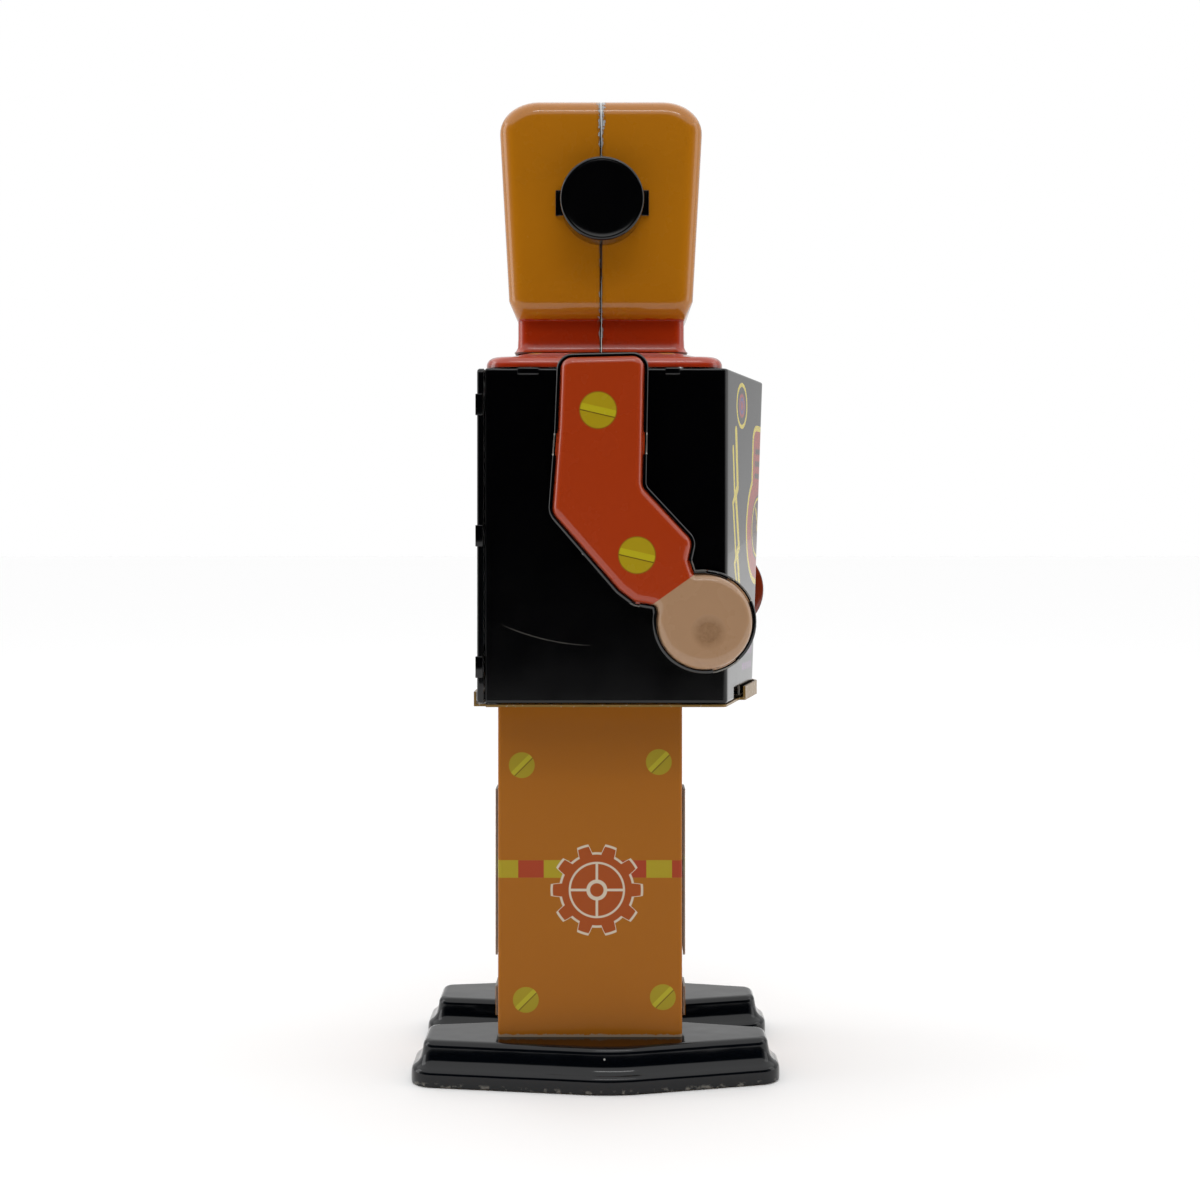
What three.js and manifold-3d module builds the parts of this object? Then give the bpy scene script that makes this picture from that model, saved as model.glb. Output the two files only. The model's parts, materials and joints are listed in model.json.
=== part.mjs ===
// A tin wind-up walking robot, in millimetres, standing on Z = 0 and facing -Y, with its own left hand at +X.
// Every pressed or folded piece is a sheet of tinplate with a real thickness. Inside the torso a spring motor turns
// a cranked axle, and the cranks push two legs to and fro about studs on the motor's plates.
import * as THREE from "three";
import { mergeVertices } from "three/addons/utils/BufferGeometryUtils.js";
import Module from "manifold-3d";

const wasm = await Module();
wasm.setup();

// ---------------------------------------------------------------- driving dimensions
const SHEET = 0.5; // thickness of every tinplate piece
const GAP = 0.3; // clearance between pieces that touch
const RUNNING = 0.1; // radial clearance of a shaft in its hole
const FOLD = 1.6; // outside radius of a folded corner

const FOOT_LENGTH = 81.4;
const FOOT_WIDTH = 31.2;
const FOOT_HEIGHT = 9.5;
const FOOT_CENTRE_X = 17.5;
const FOOT_CENTRE_Y = 3.1;
const TOE_WIDTH = 13.6;
const HEEL_WIDTH = 18.2;

const LEG_OUTER_X = 21.4; // outer face of a leg, from the middle of the robot
const LEG_INNER_X = 1.6; // inner face of a leg
const LEG_LAP = 9.8; // width of the outer channel, from the leg's outer face to where the two channels meet
const LEG_FRONT_Y = -16.0;
const LEG_BACK_Y = 24.8;
const LEG_INSIDE = 1.6; // how far the legs reach up into the torso
const STRAP_PROUD = 0.9; // how far the lapped straps stand off the leg
const SHIN_STRAP = { low: 26.5, high: 63.5 };
const ANKLE_STRAP = { low: 12.9, high: 19.4 };

const TORSO_WIDTH = 67.0;
const TORSO_FRONT_Y = -25.0; // front corners of the torso
const TORSO_BACK_Y = 26.8;
const TORSO_LOW_Z = 84.4;
const TORSO_HEIGHT = 71.8;
const PROW_TOP = 10.7; // how far the ridge of the chest stands forward of the corners, at the top
const PROW_BOTTOM = 8.2; // and at the bottom
const LIP = 2.6; // width of the folded lips round the torso's ends
const BACK_TRAY_DEPTH = 1.4;

const SHOULDER_Y = 2.5;
const SHOULDER_DROP = 9.4; // from the torso's top edge down to the shoulders
const RIGHT_ARM_FORWARD = 0; // degrees forward of the way the arm is drawn
const LEFT_ARM_FORWARD = 10.5;
const ARM_DEPTH = 4.8; // from the arm's back plate to its outer face
const ARM_STANDOFF = 0.8; // washer between the arm and the torso
const ARM_RIM = 1.3; // width of the black rim round the arm

const HEAD_CENTRE_Y = 2.0;
const HEAD_WIDTH = 44.0;
const HEAD_HALF_DEPTH = 22.9;
const HEAD_HEIGHT = 48.6;
const NECK_HEIGHT = 7.0;
const HEAD_TAPER = 0.0024; // share of the depth lost per mm below the crown
const NECK_SHOULDER = 4.0; // how far the neck's sides stand in from the head's
const NECK_DEPTH = 37.2;
const COLLAR_RIM_HEIGHT = 2.4;
const COLLAR_CROWN = 2.1;

const EAR_Y = 1.7;
const EAR_DROP = 23.2; // from the crown of the head down to the ears
const EAR_RADIUS = 9.1;
const EAR_LENGTH = 8.4;

// The motor: places are (Y, height above the torso's lower edge), and gears are tooth counts with their module.
const PLATE_INNER_X = 9.0;
const PLATE_THICKNESS = 0.8;
const HIP_Y = 4.5;
const HIP_RISE = 15.6;
const WINDING_Y = 14.5;
const WINDING_RISE = 22.6;
const DRIVE_MODULE = 0.5;
const FINE_MODULE = 0.4;
const GREAT_TEETH = 40;
const CRANK_PINION_TEETH = 10;
const SECOND_TEETH = 40;
const THIRD_TEETH = 36;
const FINE_PINION_TEETH = 8;
const ESCAPE_TEETH = 13;
const CRANK_THROW = 1.0;
const HIP_SWING = 4; // degrees either way
const KEY_LENGTH = 25.0; // how far the key reaches out from the torso's side
const KEY_TURN = 24; // degrees that the key stands from level

// ---------------------------------------------------------------- sizes that follow from those
const TORSO_HALF = TORSO_WIDTH / 2;
const TORSO_HIGH_Z = TORSO_LOW_Z + TORSO_HEIGHT;
const LEG_TOP_Z = TORSO_LOW_Z + LEG_INSIDE;
const LEG_SPLIT_X = LEG_OUTER_X - LEG_LAP;
const SHOULDER_Z = TORSO_HIGH_Z - SHOULDER_DROP;
const COLLAR_TOP_Z = TORSO_HIGH_Z + GAP + COLLAR_RIM_HEIGHT + COLLAR_CROWN;
const HEAD_LOW_Z = COLLAR_TOP_Z + GAP + NECK_HEIGHT;
const HEAD_HIGH_Z = HEAD_LOW_Z + HEAD_HEIGHT;
const EAR_Z = HEAD_HIGH_Z - EAR_DROP;
const NECK_WIDTH = HEAD_WIDTH - 2 * NECK_SHOULDER;
const HIP = { y: HIP_Y, z: TORSO_LOW_Z + HIP_RISE };
const WINDING = { y: WINDING_Y, z: TORSO_LOW_Z + WINDING_RISE };

// ---------------------------------------------------------------- finishes
const finish = (color, roughness, metalness = 0) => new THREE.MeshStandardMaterial({ color, roughness, metalness });
const ORANGE = finish(0xc98a22, 0.25);
const LEG_ORANGE = finish(0xbf7a2c, 0.25);
const RED = finish(0xb8401c, 0.25);
const BLACK = finish(0x0b0b0e, 0.2);
const FLESH = finish(0xc9a27f, 0.3);
const GOLD_LACQUER = finish(0x8f7434, 0.35, 0.6);
const STEEL = finish(0xa8adb2, 0.35, 1);
const SPRING_STEEL = finish(0x56627a, 0.3, 1);
const BRASS = finish(0xb8975a, 0.35, 1);
const NICKEL = finish(0xc9ccd0, 0.22, 1);

// ---------------------------------------------------------------- making solids
// Turns a geometry's frame so that its outline lies across X, Y or Z and its depth runs along that axis.
const ACROSS_Z = new THREE.Matrix4();
const ACROSS_X = new THREE.Matrix4().set(0, 0, 1, 0, 1, 0, 0, 0, 0, 1, 0, 0, 0, 0, 0, 1); // outline (Y, Z)
const ACROSS_Y = new THREE.Matrix4().makeRotationX(Math.PI / 2); // outline (X, Z), depth towards -Y

function toSolid(geometry) {
  const bare = geometry.clone();
  for (const name of Object.keys(bare.attributes)) if (name !== "position") bare.deleteAttribute(name);
  const merged = mergeVertices(bare, 1e-4);
  return new wasm.Manifold(
    new wasm.Mesh({
      numProp: 3,
      vertProperties: merged.attributes.position.array,
      triVerts: new Uint32Array(merged.index.array),
    }),
  );
}

function toGeometry(solid) {
  const made = solid.getMesh();
  const geometry = new THREE.BufferGeometry();
  geometry.setAttribute("position", new THREE.BufferAttribute(new Float32Array(made.vertProperties), 3));
  geometry.setIndex(new THREE.BufferAttribute(new Uint32Array(made.triVerts), 1));
  geometry.computeVertexNormals();
  return geometry;
}

const join = (...geometries) => toGeometry(geometries.map(toSolid).reduce((all, one) => all.add(one)));
const cut = (geometry, ...tools) => toGeometry(tools.map(toSolid).reduce((left, tool) => left.subtract(tool), toSolid(geometry)));

function named(name, geometry, material) {
  const mesh = new THREE.Mesh(geometry, material);
  mesh.name = name;
  return mesh;
}

function group(...children) {
  const made = new THREE.Group();
  made.add(...children);
  return made;
}

const box = (x0, x1, y0, y1, z0, z1) =>
  new THREE.BoxGeometry(x1 - x0, y1 - y0, z1 - z0).translate((x0 + x1) / 2, (y0 + y1) / 2, (z0 + z1) / 2);

// A round bar along X.
const barX = (radius, x0, x1, y = 0, z = 0, sides = 20) =>
  new THREE.CylinderGeometry(radius, radius, x1 - x0, sides).rotateZ(Math.PI / 2).translate((x0 + x1) / 2, y, z);

// A turned piece: profile points are (radius, height along X).
const turnedX = (profile, sides = 32) =>
  new THREE.LatheGeometry(
    profile.map(([radius, height]) => new THREE.Vector2(radius, height)),
    sides,
  ).rotateZ(-Math.PI / 2);

// A closed outline as points, anticlockwise, moved inwards by a distance, with each corner [u, v, radius] rounded by
// an arc of a few steps.
function outline(corners, steps = 3, distance = 0) {
  const flat = corners.map(([u, v]) => new THREE.Vector2(u, v));
  const turned = THREE.ShapeUtils.area(flat) < 0 ? [...corners].reverse() : corners;
  const moved = inset(
    turned.map(([u, v]) => new THREE.Vector2(u, v)),
    distance,
  );
  const order = turned.map(([, , radius = 0], i) => [moved[i].x, moved[i].y, Math.max(0, radius - distance)]);
  const points = [];
  order.forEach(([u, v, radius = 0], i) => {
    const here = new THREE.Vector2(u, v);
    const last = order[(i + order.length - 1) % order.length];
    const next = order[(i + 1) % order.length];
    const back = new THREE.Vector2(last[0], last[1]).sub(here).normalize();
    const on = new THREE.Vector2(next[0], next[1]).sub(here).normalize();
    const half = Math.acos(THREE.MathUtils.clamp(back.dot(on), -1, 1)) / 2;
    const setback = radius / Math.tan(half);
    if (radius === 0 || setback < 1e-3) {
      points.push(here);
      return;
    }
    const from = here.clone().addScaledVector(back, setback);
    const to = here.clone().addScaledVector(on, setback);
    const centre = here.clone().addScaledVector(back.clone().add(on).normalize(), radius / Math.sin(half));
    const start = from.clone().sub(centre).angle();
    let turn = to.clone().sub(centre).angle() - start;
    turn = ((turn + Math.PI * 3) % (Math.PI * 2)) - Math.PI;
    for (let k = 0; k <= steps; k++) {
      const angle = start + (turn * k) / steps;
      points.push(new THREE.Vector2(centre.x + radius * Math.cos(angle), centre.y + radius * Math.sin(angle)));
    }
  });
  return points;
}

// The outline moved inwards by a distance, each point along the mean of its two edges' normals.
function inset(points, distance) {
  return points.map((here, i) => {
    const last = points[(i + points.length - 1) % points.length];
    const next = points[(i + 1) % points.length];
    const a = here.clone().sub(last).normalize();
    const b = next.clone().sub(here).normalize();
    const inward = new THREE.Vector2(-a.y - b.y, a.x + b.x).normalize();
    const stretch = Math.max(0.5, inward.dot(new THREE.Vector2(-b.y, b.x)));
    return here.clone().addScaledVector(inward, distance / stretch);
  });
}

function extruded(points, depth, turn = ACROSS_Z, holes = []) {
  const shape = new THREE.Shape(points);
  shape.holes = holes.map((hole) => new THREE.Path(hole));
  return new THREE.ExtrudeGeometry(shape, { depth, bevelEnabled: false, curveSegments: 12 }).applyMatrix4(turn);
}

const circle = (radius, u = 0, v = 0, sides = 16) =>
  Array.from({ length: sides }, (_, k) => {
    const angle = (2 * Math.PI * k) / sides;
    return new THREE.Vector2(u + radius * Math.cos(angle), v + radius * Math.sin(angle));
  });

// An open profile moved sideways by a distance, for the inner face of a sheet.
function beside(profile, distance) {
  return profile.map(([u, v], i) => {
    const last = profile[Math.max(0, i - 1)];
    const next = profile[Math.min(profile.length - 1, i + 1)];
    const a = i === 0 ? null : new THREE.Vector2(u - last[0], v - last[1]).normalize();
    const b = i === profile.length - 1 ? null : new THREE.Vector2(next[0] - u, next[1] - v).normalize();
    const along = (a ?? b).clone().add(b ?? a).normalize();
    const side = new THREE.Vector2(along.y, -along.x);
    const stretch = Math.max(0.5, Math.abs(along.dot(b ?? a)));
    return [u + (side.x * distance) / stretch, v + (side.y * distance) / stretch];
  });
}

// Rings of an outline at each [inset, height] of a profile, joined in order and capped at both ends.
function ringed(points, rings) {
  const count = points.length;
  const flat = rings.map(([distance]) => inset(points, distance));
  const positions = rings.flatMap(([, height], r) => flat[r].flatMap((p) => [p.x, p.y, height]));
  const index = [];
  for (let r = 0; r + 1 < rings.length; r++)
    for (let i = 0; i < count; i++) {
      const j = (i + 1) % count;
      const [a, b, c, d] = [r * count + i, r * count + j, (r + 1) * count + j, (r + 1) * count + i];
      index.push(a, d, c, a, c, b);
    }
  for (const [a, b, c] of THREE.ShapeUtils.triangulateShape(flat[0], [])) index.push(a, b, c);
  const base = (rings.length - 1) * count;
  for (const [a, b, c] of THREE.ShapeUtils.triangulateShape(flat.at(-1), [])) index.push(base + a, base + c, base + b);
  const geometry = new THREE.BufferGeometry();
  geometry.setAttribute("position", new THREE.BufferAttribute(new Float32Array(positions), 3));
  geometry.setIndex(index);
  return geometry;
}

// A pressed tin shell. The profile is a list of [inset, height] from its face to its edge, and the sheet's inner face
// follows the same profile one thickness in.
function pressed(points, profile) {
  const inner = beside(profile, -SHEET).reverse();
  inner[0][1] = profile.at(-1)[1];
  return ringed(points, [...profile, ...inner]);
}

// A quarter round from a face to a wall: insets and heights for pressed(), face first.
const quarter = (acrossFace, downWall, top, steps = 4) =>
  Array.from({ length: steps + 1 }, (_, k) => {
    const angle = (Math.PI / 2) * (1 - k / steps);
    return [acrossFace * (1 - Math.cos(angle)), top - downWall * (1 - Math.sin(angle))];
  });

function reshape(geometry, change) {
  const position = geometry.getAttribute("position");
  const point = new THREE.Vector3();
  for (let i = 0; i < position.count; i++) {
    point.fromBufferAttribute(position, i);
    change(point);
    position.setXYZ(i, point.x, point.y, point.z);
  }
  return geometry;
}

// ---------------------------------------------------------------- torso
// The torso's plan: straight sides and back, and a front folded to a ridge down the middle.
const torsoPlan = (distance = 0, prow = PROW_TOP) =>
  outline(
    [
      [-TORSO_HALF, TORSO_BACK_Y, 0],
      [-TORSO_HALF, TORSO_FRONT_Y, FOLD],
      [0, TORSO_FRONT_Y - prow, FOLD * 2],
      [TORSO_HALF, TORSO_FRONT_Y, FOLD],
      [TORSO_HALF, TORSO_BACK_Y, 0],
    ],
    3,
    distance,
  );

// The ridge leans back towards the bottom of the chest.
const leanRidge = (geometry) =>
  reshape(geometry, (p) => {
    if (p.y >= TORSO_FRONT_Y) return;
    const high = THREE.MathUtils.clamp((p.z - TORSO_LOW_Z) / TORSO_HEIGHT, 0, 1);
    const prow = THREE.MathUtils.lerp(PROW_BOTTOM, PROW_TOP, high);
    p.y = TORSO_FRONT_Y + ((p.y - TORSO_FRONT_Y) * prow) / PROW_TOP;
  });

const SHOULDER_HOLE = 2.3;
const KEY_HOLE = 3.2;
const FRONT_HOOK_HALF = 17.0; // half the width of the bottom plate's front hook
const NOTCH_HALF = 25.0; // outer edge of the notches beside it
const NOTCH_HEIGHT = 2.8;

function torsoWrap() {
  const wall = extruded(torsoPlan(), TORSO_HEIGHT).translate(0, 0, TORSO_LOW_Z);
  const hollow = extruded(torsoPlan(SHEET), TORSO_HEIGHT - 2 * SHEET).translate(0, 0, TORSO_LOW_Z + SHEET);
  // The foot is open inside its lips. The top's opening is square to the sides, so the sheet roofs the ridge over.
  const half = TORSO_HEIGHT / 2;
  const openFoot = extruded(torsoPlan(LIP), half + 1).translate(0, 0, TORSO_LOW_Z - 1);
  const openTop = box(LIP - TORSO_HALF, TORSO_HALF - LIP, TORSO_FRONT_Y + LIP, TORSO_BACK_Y - LIP, TORSO_LOW_Z + half, TORSO_HIGH_Z + 1);
  const openBack = box(LIP - TORSO_HALF, TORSO_HALF - LIP, TORSO_BACK_Y - LIP, TORSO_BACK_Y + 1, TORSO_LOW_Z - 1, TORSO_HIGH_Z + 1);
  const reach = TORSO_HALF + 1;
  const shoulders = barX(SHOULDER_HOLE, -reach, reach, SHOULDER_Y, SHOULDER_Z, 16);
  const arbor = barX(KEY_HOLE, 0, reach, WINDING.y, WINDING.z, 16);
  const notches = [-1, 1].map((side) => {
    const [near, far] = [side * FRONT_HOOK_HALF, side * NOTCH_HALF].sort((a, b) => a - b);
    return box(near, far, TORSO_FRONT_Y - PROW_TOP - 1, TORSO_FRONT_Y + LIP, TORSO_LOW_Z - 1, TORSO_LOW_Z + NOTCH_HEIGHT);
  });
  return leanRidge(cut(wall, hollow, openFoot, openTop, openBack, shoulders, arbor, ...notches));
}

// The back is a shallow tray over the wrap's back lips, held by three folded tabs on each side.
const TAB_INSET = 7.8; // from the back's ends to the middle of its end tabs
const TAB_HEIGHTS = [TORSO_LOW_Z + TAB_INSET, (TORSO_LOW_Z + TORSO_HIGH_Z) / 2, TORSO_HIGH_Z - TAB_INSET];
function backPanel() {
  const front = TORSO_BACK_Y + GAP;
  const outer = front + BACK_TRAY_DEPTH;
  const sheet = box(-TORSO_HALF, TORSO_HALF, front, outer, TORSO_LOW_Z, TORSO_HIGH_Z);
  const inside = box(
    SHEET - TORSO_HALF,
    TORSO_HALF - SHEET,
    front - 1,
    outer - SHEET,
    TORSO_LOW_Z + SHEET,
    TORSO_HIGH_Z - SHEET,
  );
  const tabs = TAB_HEIGHTS.flatMap((z) =>
    [-1, 1].map((side) => {
      const [near, far] = [side * (TORSO_HALF - SHEET), side * (TORSO_HALF + 0.4)].sort((a, b) => a - b);
      return box(near, far, front + 0.1, outer + 0.3, z - 2.3, z + 2.3);
    }),
  );
  return join(cut(sheet, inside), ...tabs);
}

// The red collar on top of the torso: a rounded rim that rises to a flat where the neck stands.
const FLAT_SHARE = 0.66; // size of that flat beside the collar's own
function collar() {
  const rim = TORSO_HIGH_Z + GAP + COLLAR_RIM_HEIGHT;
  const plan = outline([
    [-TORSO_HALF + 0.3, TORSO_BACK_Y, 5.4],
    [-TORSO_HALF + 0.3, TORSO_FRONT_Y + 0.6, 5.4],
    [TORSO_HALF - 0.3, TORSO_FRONT_Y + 0.6, 5.4],
    [TORSO_HALF - 0.3, TORSO_BACK_Y, 5.4],
  ]);
  const shell = pressed(plan, [[4.4, rim], ...quarter(1.8, 1.8, rim), [0, rim - COLLAR_RIM_HEIGHT]]);
  // The innermost ring, on both faces of the sheet, is drawn in to the flat under the neck and lifted by the crown.
  const position = shell.getAttribute("position");
  for (const start of [0, position.count - plan.length])
    for (let i = start; i < start + plan.length; i++) {
      position.setX(i, position.getX(i) * FLAT_SHARE);
      position.setY(i, HEAD_CENTRE_Y + (position.getY(i) - HEAD_CENTRE_Y) * FLAT_SHARE);
      position.setZ(i, position.getZ(i) + COLLAR_CROWN);
    }
  return shell;
}

// The gold-lacquered bottom plate, open in the middle for the legs, with hooks folded up at the front and back.
const LEG_OPENING_HALF = LEG_OUTER_X + 2.2;
const BOTTOM_PLATE_HIGH = TORSO_LOW_Z - GAP;
function bottomPlate() {
  const low = BOTTOM_PLATE_HIGH - SHEET;
  const hookHigh = TORSO_LOW_Z + NOTCH_HEIGHT - 0.5;
  const hookHalf = FRONT_HOOK_HALF - GAP;
  const plan = (distance) => torsoPlan(distance, PROW_BOTTOM);
  const plate = extruded(plan(0.2), SHEET).translate(0, 0, low);
  const swing = (HIP.z - low) * Math.tan(THREE.MathUtils.degToRad(HIP_SWING));
  const opening = box(-LEG_OPENING_HALF, LEG_OPENING_HALF, LEG_FRONT_Y - swing - 1, LEG_BACK_Y + swing + GAP, low - 1, low + 2);
  // The front hook wraps the foot of the ridge, one gap outside the chest.
  const hookOuter = plan(-GAP - SHEET - 0.4);
  const hookInner = plan(-GAP - 0.4);
  const ring = cut(
    extruded(hookOuter, hookHigh - low).translate(0, 0, low),
    extruded(hookInner, hookHigh - low + 2).translate(0, 0, low + SHEET),
  );
  const frontOnly = box(-hookHalf, hookHalf, TORSO_FRONT_Y - PROW_TOP - 5, TORSO_FRONT_Y - 2, low - 1, hookHigh + 1);
  const frontHook = toGeometry(toSolid(ring).intersect(toSolid(frontOnly)));
  const backOuter = TORSO_BACK_Y + GAP + BACK_TRAY_DEPTH + GAP + SHEET;
  const backHooks = [-1, 1].flatMap((side) => {
    const [near, far] = [side * (LEG_OPENING_HALF + 1), side * (TORSO_HALF - 2)].sort((a, b) => a - b);
    return [
      box(near, far, TORSO_BACK_Y - 1, backOuter, low, low + SHEET),
      box(near, far, backOuter - SHEET, backOuter, low, hookHigh),
    ];
  });
  return join(cut(plate, opening), frontHook, ...backHooks);
}

// ---------------------------------------------------------------- head
const HEAD_ROUND = { across: 4.2, along: 7.0 };

function headShell(front) {
  const half = HEAD_WIDTH / 2;
  const plan = outline(
    [
      [-half, HEAD_LOW_Z, 5.4],
      [half, HEAD_LOW_Z, 5.4],
      [half, HEAD_HIGH_Z, 5.4],
      [-half, HEAD_HIGH_Z, 5.4],
    ],
    4,
  );
  const seam = GAP / 2;
  const profile = [...quarter(HEAD_ROUND.across, HEAD_ROUND.along, HEAD_HALF_DEPTH, 5), [0, seam]];
  const shell = pressed(plan, profile).applyMatrix4(ACROSS_Y);
  const neckHigh = HEAD_LOW_Z + SHEET * 0.8;
  const neckLow = COLLAR_TOP_Z + GAP;
  const neckPlan = outline([
    [-NECK_WIDTH / 2, 5, 0],
    [-NECK_WIDTH / 2, -NECK_DEPTH / 2, 3],
    [NECK_WIDTH / 2, -NECK_DEPTH / 2, 3],
    [NECK_WIDTH / 2, 5, 0],
  ]);
  const neck = cut(
    extruded(neckPlan, neckHigh - neckLow).translate(0, 0, neckLow),
    extruded(inset(neckPlan, SHEET), neckHigh - neckLow + 2).translate(0, 0, neckLow - 1),
    box(-HEAD_WIDTH, HEAD_WIDTH, -seam, HEAD_WIDTH, neckLow - 1, neckHigh + 1),
  );
  reshape(shell, (p) => (p.y *= 1 - HEAD_TAPER * (HEAD_HIGH_Z - p.z)));
  let made = join(shell, neck);
  const slots = [-1, 1].map((side) =>
    box(side * half - 2, side * half + 2, -EAR_CLIP.half - GAP, EAR_CLIP.half + GAP, EAR_Z - EAR_CLIP.high / 2 - GAP, EAR_Z + EAR_CLIP.high / 2 + GAP).translate(0, EAR_Y - HEAD_CENTRE_Y, 0),
  );
  // The clip's tabs pass through short slots, so only the ends of that band are cut away.
  const keep = box(-HEAD_WIDTH, HEAD_WIDTH, -EAR_CLIP.half + EAR_CLIP.tab, EAR_CLIP.half - EAR_CLIP.tab, HEAD_LOW_Z, HEAD_HIGH_Z).translate(0, EAR_Y - HEAD_CENTRE_Y, 0);
  const slotTools = slots.map((slot) => toGeometry(toSolid(slot).subtract(toSolid(keep))));
  if (!front) made = made.rotateZ(Math.PI);
  return cut(made, ...slotTools).translate(0, HEAD_CENTRE_Y, 0);
}

// The ear knob and the strap behind it, whose two ends go through the head as tabs.
const EAR_CLIP = { half: 10.3, high: 5.6, tab: 1.0, reach: 2.4 };
function earKnob() {
  const [radius, length] = [EAR_RADIUS, EAR_LENGTH];
  const hub = 1.6;
  return turnedX([
    [0, 0],
    [radius - 0.5, 0],
    [radius, 0.5],
    [radius, length - 1.0],
    [radius - 0.3, length - 0.3],
    [radius - 1.0, length],
    [radius - 1.6, length - 0.4],
    [radius - 1.9, length - 0.8],
    [hub, length - 0.8],
    [0, length - 0.8],
  ]);
}

function earClip() {
  const { half, high, tab, reach } = EAR_CLIP;
  const strap = box(0, SHEET, -half, half, -high / 2, high / 2);
  const tabs = [
    [-half, -half + tab / 2],
    [half - tab / 2, half],
  ].map(([y0, y1]) => box(-reach, SHEET, y0, y1, -high / 2, high / 2));
  return join(strap, ...tabs);
}

// ---------------------------------------------------------------- arms
// The arm's outline about its shoulder, drawn forward and down as [forward, up, corner radius].
const HAND = { forward: 22.6, up: -44.8, radius: 10.0 };
function armPlan() {
  const wristTop = [19.9, -34.9, 1.7];
  const wristLow = [12.4, -41.2, 1.7];
  const angleOf = ([f, u]) => Math.atan2(u - HAND.up, f - HAND.forward);
  const [from, to] = [angleOf(wristTop) - 0.28, angleOf(wristLow) + 0.16 - 2 * Math.PI];
  const steps = 14;
  const hand = Array.from({ length: steps + 1 }, (_, k) => {
    const angle = from + ((to - from) * k) / steps;
    return [HAND.forward + HAND.radius * Math.cos(angle), HAND.up + HAND.radius * Math.sin(angle)];
  });
  return outline(
    [
      [-7.7, 11.2, 2.2],
      [9.7, 11.6, 2.2],
      [9.2, -16.2, 2.5],
      [19.8, -27.6, 2.4],
      [18.9, -31.8, 1.6],
      wristTop,
      ...hand,
      wristLow,
      [7.8, -40.4, 2.2],
      [4.6, -38.0, 2.4],
      [-9.6, -21.6, 3],
      [-8.3, -4.0, 0],
    ].map(([forward, up, radius = 0]) => [-forward, up, radius]),
    2,
  );
}

const ARM_BACK_X = ARM_STANDOFF; // the back plate's inner face, out from the torso's side
const ARM_FLANGE_X = ARM_BACK_X + SHEET + GAP;
const ARM_FACE_X = ARM_BACK_X + ARM_DEPTH;
const PIVOT_RADIUS = 1.8;

function armShell() {
  const profile = [...quarter(1.5, 1.5, ARM_FACE_X, 3), [0, ARM_FLANGE_X + SHEET], [-ARM_RIM / 2 + 0.15, ARM_FLANGE_X + SHEET]];
  // The flange's underside is the sheet's inner face, so the profile ends at the flange's outer edge.
  const inner = [[-ARM_RIM / 2 + 0.15, ARM_FLANGE_X], [SHEET, ARM_FLANGE_X], [SHEET, ARM_FACE_X - 1.5], [1.3, ARM_FACE_X - SHEET]];
  return ringed(armPlan(), [...profile, ...inner]).applyMatrix4(ACROSS_X);
}

// The arm's black back plate, with a rim folded up round the shell in tabs.
function armBack() {
  const plan = armPlan();
  const outer = inset(plan, -ARM_RIM);
  const rimInner = inset(plan, -ARM_RIM / 2 - 0.05);
  const rimHigh = ARM_FLANGE_X + SHEET + 0.6;
  const tray = cut(
    extruded(outer, rimHigh - ARM_BACK_X, ACROSS_X).translate(ARM_BACK_X, 0, 0),
    extruded(rimInner, rimHigh, ACROSS_X).translate(ARM_BACK_X + SHEET, 0, 0),
    barX(PIVOT_RADIUS + RUNNING, -1, ARM_DEPTH, 0, 0, 16),
  );
  // Gaps between the tabs: [forward, up, half length along Y, half length along Z].
  const gaps = [
    [-10, -7, 2.4, 2.4],
    [11, -7, 2.4, 2.4],
    [20.5, -33, 3.0, 1.2],
    [7, -43.5, 1.6, 2.6],
    [31, -38, 3.5, 2.4],
    [27.5, -55, 3.0, 2.2],
  ].map(([forward, up, halfY, halfZ]) => box(ARM_BACK_X + SHEET, rimHigh + 1, -forward - halfY, -forward + halfY, up - halfZ, up + halfZ));
  return cut(tray, ...gaps);
}

// The hollow rivet that the arm turns on, headed inside the arm and inside the torso.
function shoulderRivet() {
  const inside = -SHEET - GAP - 1.3;
  const shank = barX(PIVOT_RADIUS, inside, ARM_BACK_X + SHEET + GAP + 0.2, 0, 0, 16);
  const outerHead = barX(3.2, ARM_BACK_X + SHEET + GAP, ARM_BACK_X + SHEET + GAP + 0.6, 0, 0, 20);
  const innerHead = barX(3.4, inside - 0.6, inside, 0, 0, 20);
  return join(shank, outerHead, innerHead);
}

const washer = (inner, outer, x0, x1) => cut(barX(outer, x0, x1, 0, 0, 24), barX(inner, x0 - 1, x1 + 1, 0, 0, 16));

function arm(side, forward) {
  const made = group(
    named(`${side}_arm_shell`, armShell(), RED),
    named(`${side}_arm_back`, armBack(), BLACK),
    named(`${side}_shoulder_rivet`, shoulderRivet(), STEEL),
    named(`${side}_shoulder_washer`, washer(PIVOT_RADIUS + RUNNING, 4.2, -SHEET - GAP - 0.9, -SHEET - GAP - 0.3), BRASS),
  );
  const sign = side === "left" ? 1 : -1;
  made.position.set(sign * TORSO_HALF, SHOULDER_Y, SHOULDER_Z);
  made.rotation.x = THREE.MathUtils.degToRad(-forward);
  made.scale.x = sign;
  return made;
}

// ---------------------------------------------------------------- legs and feet, drawn for the left side
const LEG_LOW_Z = FOOT_HEIGHT + GAP;

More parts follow.
